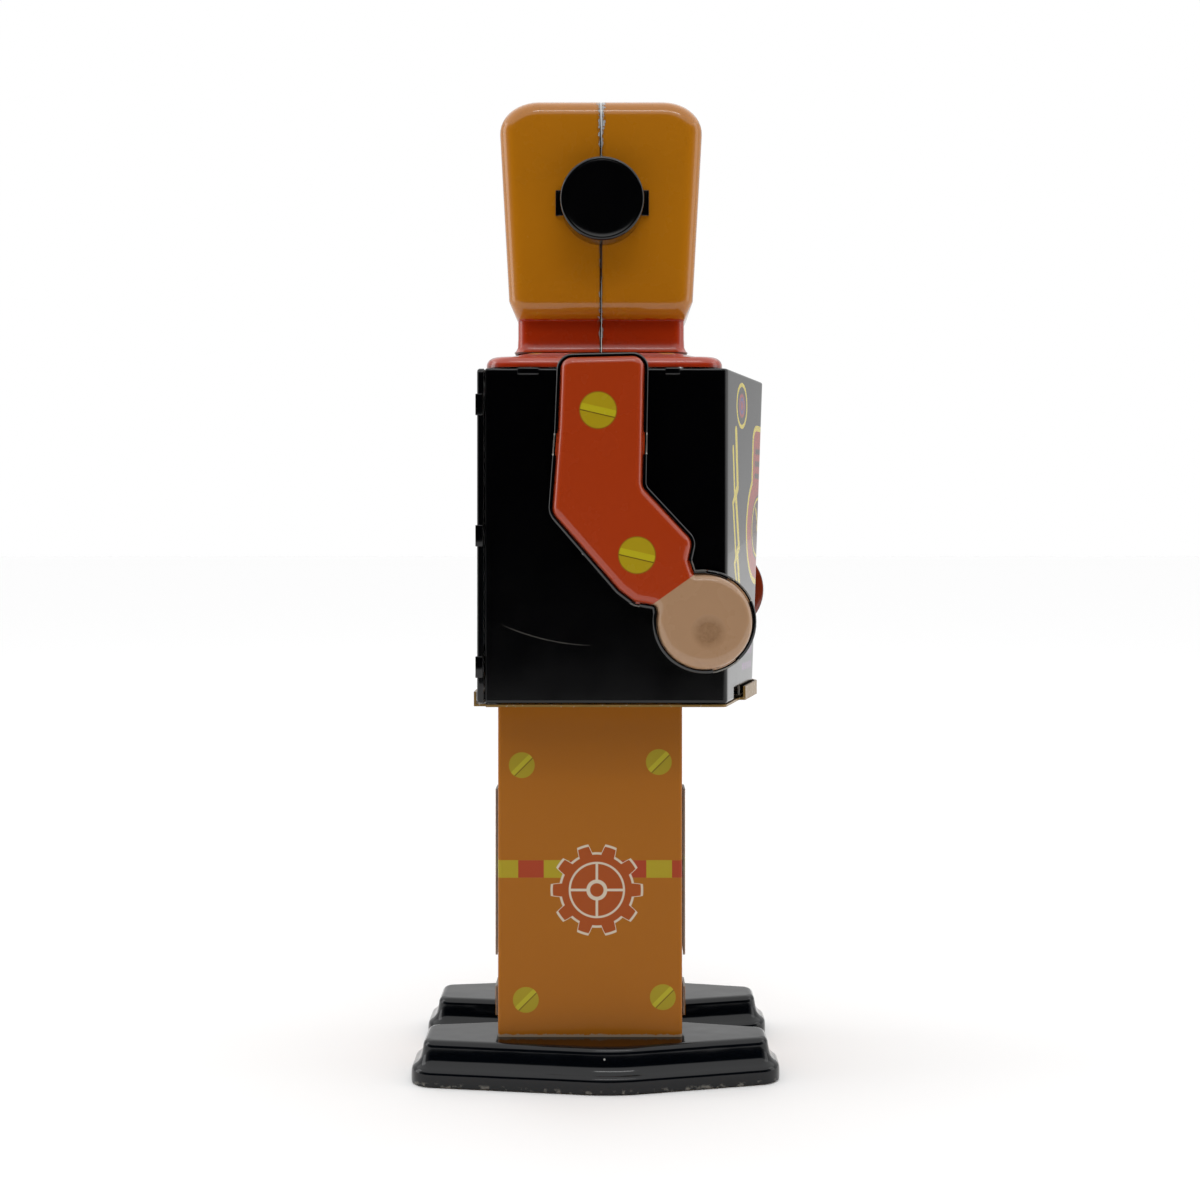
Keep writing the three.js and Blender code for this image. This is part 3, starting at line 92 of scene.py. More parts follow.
class Finish:
    """A finish being mixed. Patterns are drawn in the robot's own millimetres: x, y, z are the
    Object coordinates times 1000, less the robot's middle, turned about a point if asked."""

    def __init__(self, name, colour, roughness, metallic=0.0, coat=0.0, gloss=0.5, turn=0.0, about=(0, 0, 0)):
        self.material = bpy.data.materials.new(name)
        self.material.use_nodes = True
        self.tree = self.material.node_tree
        self.shader = self.tree.nodes["Principled BSDF"]
        self.shader.inputs["Metallic"].default_value = metallic
        self.shader.inputs["Coat Weight"].default_value = coat
        self.shader.inputs["Specular IOR Level"].default_value = gloss
        self.shader.inputs["Coat Roughness"].default_value = COAT_ROUGHNESS
        self.roughness = roughness
        self.colour = ink(*colour)
        self.height = None
        where = self.tree.nodes.new("ShaderNodeTexCoord")
        mapping = self.tree.nodes.new("ShaderNodeMapping")
        c, s = math.cos(math.radians(turn)), math.sin(math.radians(turn))
        px, py, pz = (home[i] * 1000 + about[i] for i in range(3))
        mapping.inputs["Scale"].default_value = (1000, 1000, 1000)
        mapping.inputs["Rotation"].default_value = (math.radians(turn), 0, 0)
        mapping.inputs["Location"].default_value = (-px, -(c * py - s * pz), -(s * py + c * pz))
        self.tree.links.new(where.outputs["Object"], mapping.inputs["Vector"])
        self.place = mapping.outputs["Vector"]
        parts = self.tree.nodes.new("ShaderNodeSeparateXYZ")
        self.tree.links.new(self.place, parts.inputs[0])
        self.x, self.y, self.z = parts.outputs

    def set(self, socket, value):
        if isinstance(value, bpy.types.NodeSocket):
            self.tree.links.new(value, socket)
        else:
            socket.default_value = value

    def sum(self, operation, *values, clamp=False):
        node = self.tree.nodes.new("ShaderNodeMath")
        node.operation = operation
        node.use_clamp = clamp
        for socket, value in zip(node.inputs, values):
            self.set(socket, value)
        return node.outputs[0]

    def plus(self, a, b, clamp=False):
        return self.sum("ADD", a, b, clamp=clamp)

    def less(self, a, b, clamp=False):
        return self.sum("SUBTRACT", a, b, clamp=clamp)

    def times(self, a, b, clamp=False):
        return self.sum("MULTIPLY", a, b, clamp=clamp)

    def size(self, value):
        """The value without its sign."""
        return self.sum("ABSOLUTE", value)

    def under(self, value, limit, soft=SOFT):
        """1 where the value is below the limit, 0 above it, with a soft edge."""
        return self.sum("DIVIDE", self.plus(self.less(limit, value), soft / 2), soft, clamp=True)

    def both(self, *masks):
        all_of = masks[0]
        for mask in masks[1:]:
            all_of = self.times(all_of, mask)
        return all_of

    def either(self, *masks):
        any_of = masks[0]
        for mask in masks[1:]:
            any_of = self.sum("MAXIMUM", any_of, mask)
        return any_of

    def far(self, u, v, cu, cv):
        """Distance of (u, v) from a centre."""
        du, dv = self.less(u, cu), self.less(v, cv)
        return self.sum("SQRT", self.plus(self.times(du, du), self.times(dv, dv)))

    def disc(self, u, v, cu, cv, radius, soft=SOFT):
        return self.under(self.far(u, v, cu, cv), radius, soft)

    def ring(self, u, v, cu, cv, radius, width, soft=SOFT):
        return self.under(self.size(self.less(self.far(u, v, cu, cv), radius)), width / 2, soft)

    def band(self, u, low, high, soft=SOFT):
        """1 where u is between low and high."""
        off = self.size(self.less(u, (low + high) / 2))
        return self.under(off, (high - low) / 2, soft)

    def stroke(self, u, v, start, end, width, soft=SOFT):
        """A line with round ends: distance from the nearest point of the segment."""
        (u0, v0), (u1, v1) = start, end
        span = (u1 - u0) ** 2 + (v1 - v0) ** 2
        along = self.plus(self.times(u, (u1 - u0) / span), self.times(v, (v1 - v0) / span))
        share = self.less(along, (u0 * (u1 - u0) + v0 * (v1 - v0)) / span, clamp=True)
        du = self.less(self.less(u, u0), self.times(share, u1 - u0))
        dv = self.less(self.less(v, v0), self.times(share, v1 - v0))
        off = self.sum("SQRT", self.plus(self.times(du, du), self.times(dv, dv)))
        return self.under(off, width / 2, soft)

    def panel(self, u, v, cu, cv, half_u, half_v, radius):
        """How far inside a rounded rectangle: its edge is at 0, and inside is negative."""
        du = self.less(self.size(self.less(u, cu)), half_u - radius)
        dv = self.less(self.size(self.less(v, cv)), half_v - radius)
        pu, pv = self.sum("MAXIMUM", du, 0.0), self.sum("MAXIMUM", dv, 0.0)
        corner = self.sum("SQRT", self.plus(self.times(pu, pu), self.times(pv, pv)))
        inner = self.sum("MINIMUM", self.sum("MAXIMUM", du, dv), 0.0)
        return self.less(self.plus(corner, inner), radius)

    def cloud(self, size, detail=2.0, rough=0.5, stretch=(1, 1, 1)):
        """Smooth noise from 0 to 1 whose blobs are about that many millimetres across."""
        node = self.tree.nodes.new("ShaderNodeTexNoise")
        node.inputs["Scale"].default_value = 1.0 / size
        node.inputs["Detail"].default_value = detail
        node.inputs["Roughness"].default_value = rough
        scaled = self.tree.nodes.new("ShaderNodeVectorMath")
        scaled.operation = "MULTIPLY"
        scaled.inputs[1].default_value = stretch
        self.tree.links.new(self.place, scaled.inputs[0])
        self.tree.links.new(scaled.outputs[0], node.inputs["Vector"])
        return node.outputs["Fac"]

    def specks(self, spacing, radius, share):
        """Small round specks in a few of the cells of a scattered grid."""
        cells = self.tree.nodes.new("ShaderNodeTexVoronoi")
        cells.inputs["Scale"].default_value = 1.0 / spacing
        self.tree.links.new(self.place, cells.inputs["Vector"])
        near = self.under(cells.outputs["Distance"], radius / spacing, 0.3 * radius / spacing)
        split = self.tree.nodes.new("ShaderNodeSeparateColor")
        self.tree.links.new(cells.outputs["Color"], split.inputs[0])
        return self.both(near, self.under(split.outputs[0], share, 0.01))

    def over(self, mask, colour, strength=1.0):
        """Lays a colour over what is there, where the mask is 1."""
        node = self.tree.nodes.new("ShaderNodeMix")
        node.data_type = "RGBA"
        self.set(node.inputs["Factor"], mask if strength == 1.0 else self.times(mask, strength))
        self.set(node.inputs[6], self.colour)
        self.set(node.inputs[7], ink(*colour) if isinstance(colour, tuple) else colour)
        self.colour = node.outputs[2]

    def raise_by(self, mask, height):
        """Adds a height in millimetres where the mask is 1."""
        part = self.times(mask, height)
        self.height = part if self.height is None else self.plus(self.height, part)

    def rougher(self, mask, by):
        part = self.times(mask, by)
        self.roughness = self.plus(self.roughness, part, clamp=True)

    def done(self):
        self.set(self.shader.inputs["Base Color"], self.colour)
        self.set(self.shader.inputs["Roughness"], self.roughness)
        if self.height is not None:
            bump = self.tree.nodes.new("ShaderNodeBump")
            bump.inputs["Distance"].default_value = 0.001
            self.tree.links.new(self.height, bump.inputs["Height"])
            self.tree.links.new(bump.outputs[0], self.shader.inputs["Normal"])
        return self.material


def ink(red, green, blue):
    """A printer's 0 to 255 colour as linear light."""
    share = np.array([red, green, blue]) / 255.0
    linear = np.where(share <= 0.04045, share / 12.92, ((share + 0.055) / 1.055) ** 2.4)
    return (*[float(v) for v in linear], 1.0)


def tin_sheet(finish, wave):
    """What every stoved sheet shows: a slow wave from rolling, fine lacquer peel, and handling marks."""
    finish.raise_by(finish.cloud(26.0, 1.0), wave)
    finish.raise_by(finish.cloud(1.1, 1.0), PEEL)
    finish.rougher(finish.cloud(9.0, 4.0, 0.6), 0.10)
    finish.over(finish.specks(6.0, 0.24, 0.09), (190, 190, 185), 0.7)


# ---------------------------------------------------------------- torso wrap
# One sheet of tinplate folded round the front and sides, with a ridge down the chest. It is
# printed and stoved with glossy black enamel before folding; its ends are turned in as lips.
YELLOW = (206, 186, 46)
ARM_SWEEP = 50.0  # radius of the arc that the hand has rubbed on the side
SHOULDER = (2.5, 146.8)

chest = Finish("black_enamel_print", BLACK, 0.09, coat=0.25, gloss=0.3)
across = chest.size(chest.x)
on_front = chest.under(chest.y, -20.0)
roundel = (19.6, 149.2)
chest.over(chest.both(on_front, chest.disc(across, chest.z, *roundel, 5.1)), YELLOW)
chest.over(chest.both(on_front, chest.disc(across, chest.z, *roundel, 4.2)), (24, 16, 20))
chest.over(chest.both(on_front, chest.disc(across, chest.z, *roundel, 2.7)), (150, 34, 30))
chest.over(chest.both(on_front, chest.ring(across, chest.z, *roundel, 1.5, 0.8)), (44, 60, 130))
bolts = [
    (2.0, [(24.8, 143.4), (22.8, 131.0), (24.6, 129.4), (20.8, 117.8), (22.4, 116.6), (19.0, 107.4)]),
    (1.4, [(27.4, 139.4), (25.6, 128.8), (27.2, 127.4), (23.8, 115.4), (25.2, 114.2), (22.0, 108.6)]),
]
for wide, bolt in bolts:
    zigzag = chest.either(*[chest.stroke(across, chest.z, a, b, wide) for a, b in zip(bolt, bolt[1:])])
    chest.over(chest.both(on_front, zigzag), YELLOW)
dial_far = chest.far(across, chest.z, 0.0, 122.4)
field = chest.sum(
    "MINIMUM", chest.panel(across, chest.z, 0.0, 131.6, 8.6, 14.2, 4.0), chest.less(dial_far, 13.4)
)
chest.over(chest.both(on_front, chest.under(field, 0.0)), YELLOW)
chest.over(chest.both(on_front, chest.under(field, -1.3)), (150, 34, 18))
chest.over(chest.both(on_front, chest.under(dial_far, 7.6)), (58, 14, 12))
chest.over(chest.both(on_front, chest.band(dial_far, 6.4, 7.0)), YELLOW)
chest.over(chest.both(on_front, chest.stroke(chest.x, chest.z, (0.0, 122.4), (-3.0, 126.6), 0.8)), YELLOW)
chest.over(chest.both(on_front, chest.under(dial_far, 1.4)), YELLOW)
for low in (133.6, 136.4, 139.2):
    line = chest.both(on_front, chest.band(chest.z, low, low + 1.2), chest.under(across, 5.4))
    chest.over(line, (58, 14, 12))
for low in (90.0, 93.4):
    dashes = chest.under(chest.sum("FRACT", chest.sum("DIVIDE", across, 3.2)), 0.55, 0.06)
    row = chest.both(on_front, chest.band(chest.z, low, low + 1.6), chest.band(across, 3.2, 16.0), dashes)
    chest.over(row, (120, 70, 128))
sweep = chest.both(
    chest.ring(chest.y, chest.z, *SHOULDER, ARM_SWEEP, 0.22, 0.14),
    chest.band(chest.y, SHOULDER[0] + 2.9, SHOULDER[0] + 19.2, 4.0),
    chest.under(chest.z, 110.0),
)
chest.over(chest.both(sweep, chest.cloud(2.0, 3.0)), (120, 118, 112), 0.55)
tin_sheet(chest, wave=0.07)
black_print = chest.done()

edge = Finish("cut_tin_edge", (176, 174, 168), 0.32, metallic=1.0)
edge.over(edge.cloud(1.5, 3.0), (96, 92, 88), 0.7)
edge.rougher(edge.cloud(0.8, 2.0), 0.2)
bare_tin = edge.done()


def outline(corners, distance=0.0, steps=6, pace=3.0):
    """A closed outline, anticlockwise, as (u, v) points. Each corner (u, v, radius) moves inwards by
    the distance and becomes an arc; straight runs are divided about every pace of the unmoved shape,
    so that outlines at different distances have matching points. A fourth value sets the arc's steps."""
    c = np.array([(k[0], k[1], k[2]) for k in corners], float)
    counts = [k[3] if len(k) > 3 else steps for k in corners]
    area = np.sum(c[:, 0] * np.roll(c[:, 1], -1) - np.roll(c[:, 0], -1) * c[:, 1])
    if area < 0:
        c, counts = c[::-1], counts[::-1]
    run = np.roll(c[:, :2], -1, axis=0) - c[:, :2]
    length = np.linalg.norm(run, axis=1)
    d_out = run / length[:, None]
    d_in = np.roll(d_out, 1, axis=0)
    n_out = np.stack([-d_out[:, 1], d_out[:, 0]], 1)
    n_in = np.roll(n_out, 1, axis=0)
    moved = c[:, :2] + distance * (n_in + n_out) / (1 + np.sum(n_in * n_out, axis=1))[:, None]
    bend = np.arctan2(d_in[:, 0] * d_out[:, 1] - d_in[:, 1] * d_out[:, 0], np.sum(d_in * d_out, axis=1))
    side = np.where(bend >= 0, 1.0, -1.0)
    rest_set = c[:, 2] * np.tan(np.abs(bend) / 2)
    radius = np.maximum(c[:, 2] - side * distance, 0.02) * (c[:, 2] > 0)
    setback = radius * np.tan(np.abs(bend) / 2)
    made = []
    for i in range(len(c)):
        centre = moved[i] - d_in[i] * setback[i] + side[i] * n_in[i] * radius[i]
        begin = math.atan2(-side[i] * n_in[i][1], -side[i] * n_in[i][0])
        angle = begin + bend[i] * np.linspace(0, 1, counts[i] + 1)
        made.append(centre + radius[i] * np.stack([np.cos(angle), np.sin(angle)], 1))
        j = (i + 1) % len(c)
        pieces = max(1, int(math.ceil((length[i] - rest_set[i] - rest_set[j]) / pace)))
        start, end = made[-1][-1], moved[j] - d_in[j] * setback[j]
        share = np.arange(1, pieces)[:, None] / pieces
        made.append(start + (end - start) * share)
    return np.concatenate(made)


def rings(corners, profile, steps=6, pace=3.0):
    """Outlines stacked as a grid of (u, v, height): one row for each (inset, height) of the profile."""
    return np.stack(
        [
            np.column_stack([plan, np.full(len(plan), height)])
            for plan, height in ((outline(corners, inset, steps, pace), height) for inset, height in profile)
        ]
    )


def turned_in(across, down, top, steps=6):
    """A quarter of an ellipse from a flat face to a wall, as (inset, height), face first."""
    angle = np.linspace(math.pi / 2, 0, steps + 1)
    return [(across * (1 - math.cos(a)), top - down * (1 - math.sin(a))) for a in angle]


def patch(grid, closed=False, kept=None, first=False, last=False):
    """Quads between the rows of a grid of points, wrapped round if closed, without the faces that
    kept says no to, and with one flat face over the first or last row if asked."""
    rows, columns = grid.shape[:2]
    number = np.arange(rows * columns).reshape(rows, columns)
    if closed:
        number = np.concatenate([number, number[:, :1]], 1)
    quads = np.stack([number[:-1, :-1], number[:-1, 1:], number[1:, 1:], number[1:, :-1]], -1)
    quads = quads.reshape(-1, 4) if kept is None else quads[kept]
    faces = quads.tolist()
    if first:
        faces.append(number[0, :columns][::-1].tolist())
    if last:
        faces.append(number[-1, :columns].tolist())
    return grid.reshape(-1, 3), faces


def face_middles(grid, closed=False):
    """The middle of each quad that patch would make."""
    wide = np.concatenate([grid, grid[:, :1]], 1) if closed else grid
    return (wide[:-1, :-1] + wide[1:, :-1] + wide[:-1, 1:] + wide[1:, 1:]) / 4


def tin_piece(
    name, patches, finishes, body, nodes, sheet=0.5, away=None, crease=35.0, weld=0.01, even=True
):
    """Joins patches into one piece: welded, normals outwards, creased where folds are sharp, and given
    the sheet's thickness inwards. Points are in millimetres from the robot's middle."""
    points, faces, start = [], [], 0
    for patch_points, patch_faces in patches:
        points.append(patch_points)
        faces += [[v + start for v in face] for face in patch_faces]
        start += len(patch_points)
    place = np.concatenate(points) / 1000 + np.array(home)
    mesh = bpy.data.meshes.new(name)
    mesh.from_pydata(place, [], faces)
    work = bmesh.new()
    work.from_mesh(mesh)
    bmesh.ops.remove_doubles(work, verts=work.verts, dist=weld / 1000)
    bmesh.ops.dissolve_degenerate(work, edges=work.edges, dist=weld / 2000)
    bmesh.ops.recalc_face_normals(work, faces=work.faces)
    if away is not None:
        middle = Vector(np.array(away) / 1000 + np.array(home))
        outward = sum(f.normal.dot(f.calc_center_median() - middle) * f.calc_area() for f in work.faces)
        if outward < 0:
            bmesh.ops.reverse_faces(work, faces=work.faces)
    work.edges.index_update()
    cut_edges = [edge.index for edge in work.edges if edge.is_boundary]
    work.to_mesh(mesh)
    work.free()
    mesh.shade_smooth()
    mesh.set_sharp_from_angle(angle=math.radians(crease))
    for index in cut_edges:
        mesh.edges[index].use_edge_sharp = True
    made = bpy.data.objects.new(name, mesh)
    bpy.context.scene.collection.objects.link(made)
    for finish in finishes:
        mesh.materials.append(finish)
    if sheet:
        wall = made.modifiers.new("sheet", "SOLIDIFY")
        wall.thickness = sheet / 1000
        wall.offset = -1.0
        wall.use_even_offset = even
        wall.use_quality_normals = True
        if len(finishes) > 1:
            wall.material_offset_rim = 1
    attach(made, body)
    if nodes:
        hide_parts(*nodes)
    return made


SIDES = ((-1, "right"), (1, "left"))
TORSO_HALF, TORSO_FRONT = 33.5, -25.0
TORSO_LOW, TORSO_HIGH = 84.4, 156.2
RIDGE_LOW, RIDGE_HIGH = 8.2, 10.7  # how far the ridge stands forward at the foot and top of the chest
NOTCH = (17.0, 25.0, 2.8)  # between these across, and this high, beside the bottom plate's front hook
LIP = 2.6


def along_front(half):
    """A point of the chest's front, that far out from the ridge."""
    return (half, TORSO_FRONT - RIDGE_HIGH * (1 - abs(half) / TORSO_HALF), 0.0)


def lean(points):
    """The ridge stands forward less towards the foot of the chest: everything ahead of the side
    folds is scaled from the full ridge towards the low one, in proportion to height."""
    high = np.clip((points[..., 2] - TORSO_LOW) / (TORSO_HIGH - TORSO_LOW), 0, 1)
    reach = (RIDGE_LOW + (RIDGE_HIGH - RIDGE_LOW) * high) / RIDGE_HIGH
    ahead = points[..., 1] < TORSO_FRONT
    points[..., 1] = np.where(ahead, TORSO_FRONT + (points[..., 1] - TORSO_FRONT) * reach, points[..., 1])
    return points


torso_corners = [
    (-TORSO_HALF, TORSO_BACK, 0.5),
    (-TORSO_HALF, TORSO_FRONT, 1.6),
    along_front(-NOTCH[1]),
    along_front(-NOTCH[0]),
    (0.0, TORSO_FRONT - RIDGE_HIGH, 2.6),
    along_front(NOTCH[0]),
    along_front(NOTCH[1]),
    (TORSO_HALF, TORSO_FRONT, 1.6),
    (TORSO_HALF, TORSO_BACK, 0.5),
    (TORSO_HALF - LIP, TORSO_BACK, 0.0),
    (LIP - TORSO_HALF, TORSO_BACK, 0.0),
]
top_fold = turned_in(0.5, 0.5, TORSO_HIGH, 4)
bottom_fold = [(i, TORSO_LOW + TORSO_HIGH - h) for i, h in top_fold]
torso_profile = (
    [(LIP, TORSO_LOW), (0.9, TORSO_LOW)]
    + bottom_fold
    + [(0.0, TORSO_LOW + 0.7), (0.0, TORSO_LOW + NOTCH[2]), (0.0, TORSO_LOW + NOTCH[2] + 0.2)]
    + [(0.0, h) for h in np.linspace(92, TORSO_HIGH - 3, 9)]
    + [(0.0, TORSO_HIGH - 0.7)]
    + top_fold[::-1]
    + [(0.9, TORSO_HIGH), (LIP, TORSO_HIGH)]
)
wrap = lean(rings(torso_corners, torso_profile, steps=8, pace=2.0))
# The lip at the top of the chest is square to the sides, so that the sheet roofs the ridge over.
wrap[-1, :, 1] = np.maximum(wrap[-1, :, 1], TORSO_FRONT + LIP)
middles = face_middles(wrap, closed=True)
across_wrap = np.abs(middles[..., 0])
open_back = (middles[..., 1] > TORSO_BACK - 0.3) & (across_wrap < TORSO_HALF - LIP)
notched = (
    (middles[..., 1] < TORSO_FRONT)
    & (across_wrap > NOTCH[0])
    & (across_wrap < NOTCH[1])
    & (middles[..., 2] < TORSO_LOW + NOTCH[2])
)
tin_piece(
    "torso_wrap_tin", [patch(wrap, closed=True, kept=~(open_back | notched))], [black_print, bare_tin],
    "torso", ["torso_wrap"], away=(0, 0, 120), crease=30,
)


def block(low, high, radius=0.15):
    """A small pressed tab: a closed box whose edges are rounded."""
    plan = ((low[0], low[1]), (high[0], low[1]), (high[0], high[1]), (low[0], high[1]))
    corners = [(x, y, 0.15) for x, y in plan]
    top = turned_in(radius, radius, high[2], 3)
    bottom = [(i, low[2] + high[2] - h) for i, h in top]
    return patch(rings(corners, bottom + top[::-1], steps=3, pace=50.0), closed=True, first=True, last=True)


# Tabs of the collar are bent down over the top edge and crimped.
crimps = []
for side in (-1, 1):
    x_low, x_high = sorted((side * (TORSO_HALF - 0.9), side * (TORSO_HALF + 0.55)))
    for y_low, y_high in ((15.2, 19.8), (-15.0, -11.8)):
        crimps.append(block((x_low, y_low, TORSO_HIGH - 1.5), (x_high, y_high, TORSO_HIGH + 0.15), 0.35))
tin_piece("torso_top_crimps", crimps, [black_print], "torso", [], sheet=0)

# ---------------------------------------------------------------- back panel
# A shallow pressed tray closes the back. Its edge is folded over the wrap's back lips and held by
# three tabs bent over at each side; a service hatch is printed on the black.
TRAY_FRONT, TRAY_BACK = 27.1, 28.5
tray_middle = (TORSO_LOW + TORSO_HIGH) / 2

hatch = Finish("black_enamel_hatch", BLACK, 0.09, coat=0.25, gloss=0.3)
behind = hatch.under(28.2, hatch.y)
frame_edge = hatch.panel(hatch.x, hatch.z, 0.0, 118.0, 22.0, 22.0, 4.0)
hatch.over(hatch.both(behind, hatch.band(frame_edge, -1.2, 0.0)), YELLOW)
for slot_high in (112.0, 117.0, 122.0, 127.0):
    vent = hatch.panel(hatch.x, hatch.z, 0.0, slot_high, 13.0, 1.2, 1.2)
    hatch.over(hatch.both(behind, hatch.under(vent, 0.0)), (126, 26, 18))
for bolt_high in (101.0, 135.0):
    bolt_disc = hatch.disc(hatch.size(hatch.x), hatch.z, 17.5, bolt_high, 2.2)
    hatch.over(hatch.both(behind, bolt_disc), (168, 150, 40))
    ends = ((16.4, bolt_high - 1.1), (18.6, bolt_high + 1.1))
    cross = hatch.stroke(hatch.size(hatch.x), hatch.z, *ends, 0.6)
    hatch.over(hatch.both(behind, cross), (60, 52, 20))
tin_sheet(hatch, wave=0.07)
black_hatch = hatch.done()

tray_corners = [
    (-TORSO_HALF, TORSO_LOW, 1.0),
    (TORSO_HALF, TORSO_LOW, 1.0),
    (TORSO_HALF, TORSO_HIGH, 1.0),
    (-TORSO_HALF, TORSO_HIGH, 1.0),
]
tray_profile = [(1.4, TRAY_BACK), *turned_in(0.6, 0.6, TRAY_BACK, 4), (0.0, TRAY_FRONT)]
tray = rings(tray_corners, tray_profile, steps=4, pace=4.0)[..., [0, 2, 1]]
tin_piece(
    "back_panel_tin", [patch(tray, closed=True, first=True)], [black_hatch, bare_tin], "torso",
    ["back_panel"], away=(0, 20, tray_middle),
)


tabs = []
for side in (-1, 1):
    for high in (TORSO_LOW + 7.8, tray_middle, TORSO_HIGH - 7.8):
        x_low, x_high = sorted((side * (TORSO_HALF - 0.5), side * (TORSO_HALF + 0.42)))
        tabs.append(block((x_low, TRAY_FRONT + 0.1, high - 2.3), (x_high, TRAY_BACK + 0.3, high + 2.3)))
tin_piece("back_panel_tabs", tabs, [black_hatch], "torso", [], sheet=0)

# ---------------------------------------------------------------- bottom plate
# The plate under the torso is tinplate with a thin gold lacquer. It is open for the legs, and its
# hooked ends fold up over the foot of the chest and the back.
lacquer = Finish("gold_lacquer", (150, 118, 62), 0.30, metallic=0.75, coat=0.3)
lacquer.over(lacquer.cloud(3.0, 4.0, 0.7), (96, 72, 36), 0.5)
lacquer.over(lacquer.under(lacquer.cloud(0.9, 3.0), 0.36, 0.06), (196, 186, 168), 0.6)
lacquer.raise_by(lacquer.cloud(8.0, 2.0), 0.03)
lacquer.rougher(lacquer.cloud(2.0, 3.0), 0.22)
gold_lacquer = lacquer.done()


def repaint(finish, *nodes):
    """Gives a CAD node's object its finish."""
    for node in nodes:
        mesh = frame["nodes"][node].data
        mesh.materials.clear()
        mesh.materials.append(finish)


repaint(gold_lacquer, "bottom_plate", "right_foot_sole", "left_foot_sole")

# ---------------------------------------------------------------- shoulder collar
# A pressed red lid stands on the torso. Its rim rounds over to a slope that rises to the flat under
# the neck, where a row of yellow spots is printed.
COLLAR_LOW, COLLAR_RIM, COLLAR_TOP = 156.5, 158.9, 161.0
NECK_Y = 2.0
lid = Finish("collar_red_print", (172, 48, 14), 0.2, coat=1.0, gloss=0.3)
for spot_y in (16.6, 6.9, -2.9, -12.6):
    lid.over(lid.disc(lid.size(lid.x), lid.y, 22.6, spot_y, 1.7), (222, 172, 40))
for spot_x in (0.0, 10.0):
    for spot_y in (24.0, -22.0):
        lid.over(lid.disc(lid.size(lid.x), lid.y, spot_x, spot_y, 1.7), (222, 172, 40))
lid.raise_by(lid.cloud(5.0, 2.0), 0.22)
tin_sheet(lid, wave=0.12)
# Darker red-brown in patches along the foot of the rim, where it meets the torso: painted shade between the
# parts.
lid.over(lid.both(lid.under(lid.z, COLLAR_LOW + 0.5, 0.3), lid.cloud(1.2, 3.0)), (60, 20, 12), 0.6)
red_lid = lid.done()

collar_corners = [
    (-TORSO_HALF + 0.3, TORSO_BACK, 5.4),
    (-TORSO_HALF + 0.3, TORSO_FRONT + 0.6, 5.4),
    (TORSO_HALF - 0.3, TORSO_FRONT + 0.6, 5.4),
    (TORSO_HALF - 0.3, TORSO_BACK, 5.4),
]
rim_profile = [(0.0, COLLAR_LOW), *turned_in(1.9, 1.9, COLLAR_RIM, 7)[::-1]]
rim = rings(collar_corners, rim_profile, steps=10, pace=3.0)
rim_top = rim[-1]
top_ring = rings(collar_corners, [(4.4, COLLAR_TOP)], steps=10, pace=3.0)[0]
top_ring = np.column_stack([top_ring[:, 0] * 0.66, NECK_Y + (top_ring[:, 1] - NECK_Y) * 0.66, top_ring[:, 2]])
share = np.linspace(0, 1, 14)[1:, None, None]
rise = share * share * (3 - 2 * share)
slope = rim_top + (top_ring - rim_top) * np.concatenate([share, share, rise], -1)
inner = np.stack([top_ring * (0.9, 0.9, 1.0)])
tin_piece(
    "shoulder_collar_tin", [patch(np.concatenate([rim, slope, inner]), closed=True, last=True)],
    [red_lid, bare_tin], "torso", ["shoulder_collar"], away=(0, 0, 150), crease=60,
)

# ---------------------------------------------------------------- head and neck
# The head is two deep-drawn tin shells that meet at a seam over the ears, with the neck drawn in the
# same piece. Paint is chipped to bare tin where the shells were pressed together.
HEAD_LOW, HEAD_HIGH = 168.3, 216.9
HEAD_HALF, HEAD_DEEP = 22.0, 22.9
NECK_HALF, NECK_DEEP, NECK_LOW = 18.0, 18.6, 161.3
SEAM_HALF = 0.12
TAPER = 0.0024  # share of the depth lost for each millimetre below the crown

skull = Finish("head_orange_print", (182, 113, 14), 0.22, coat=0.8, gloss=0.2)
neck_line = skull.plus(HEAD_LOW, skull.times(skull.cloud(3.0), 0.5))
skull.over(skull.under(skull.z, neck_line, 0.25), (178, 52, 10))
face_on = skull.under(skull.y, -14.0)
face_across = skull.size(skull.x)
eye = (9.2, 196.0)
skull.over(skull.both(face_on, skull.disc(face_across, skull.z, *eye, 6.0)), (24, 20, 22))
skull.over(skull.both(face_on, skull.disc(face_across, skull.z, *eye, 5.2)), (232, 228, 210))
skull.over(skull.both(face_on, skull.disc(face_across, skull.z, *eye, 2.4)), (24, 20, 22))
glint = skull.disc(face_across, skull.z, eye[0] + 0.9, eye[1] + 0.9, 0.7)
skull.over(skull.both(face_on, glint), (240, 240, 236))
skull.raise_by(skull.both(face_on, skull.disc(face_across, skull.z, *eye, 6.4, 1.6)), 0.35)
grille = skull.panel(face_across, skull.z, 0.0, 181.0, 12.0, 4.2, 2.0)
skull.over(skull.both(face_on, skull.under(grille, 0.0)), (24, 20, 22))
bars = skull.under(skull.sum("FRACT", skull.sum("DIVIDE", skull.plus(face_across, 1.0), 3.0)), 0.66, 0.04)
skull.over(skull.both(face_on, skull.under(grille, -0.8), bars), (214, 196, 120))
skull.raise_by(skull.both(face_on, skull.under(grille, 0.4, 1.4)), 0.25)
off_seam = skull.size(skull.less(skull.y, NECK_Y))
near_ends = skull.either(
    skull.under(208.0, skull.z, 8.0), skull.under(skull.size(skull.less(skull.z, 168.0)), 2.0, 3.0)
)
chip_reach = skull.sum(
    "MULTIPLY",
    skull.less(skull.cloud(1.7, 4.0, 0.75), 0.36),
    skull.plus(1.3, skull.times(near_ends, 2.2)),
)
skull.over(skull.under(off_seam, skull.plus(chip_reach, 0.15), 0.5), (70, 46, 18), 0.6)
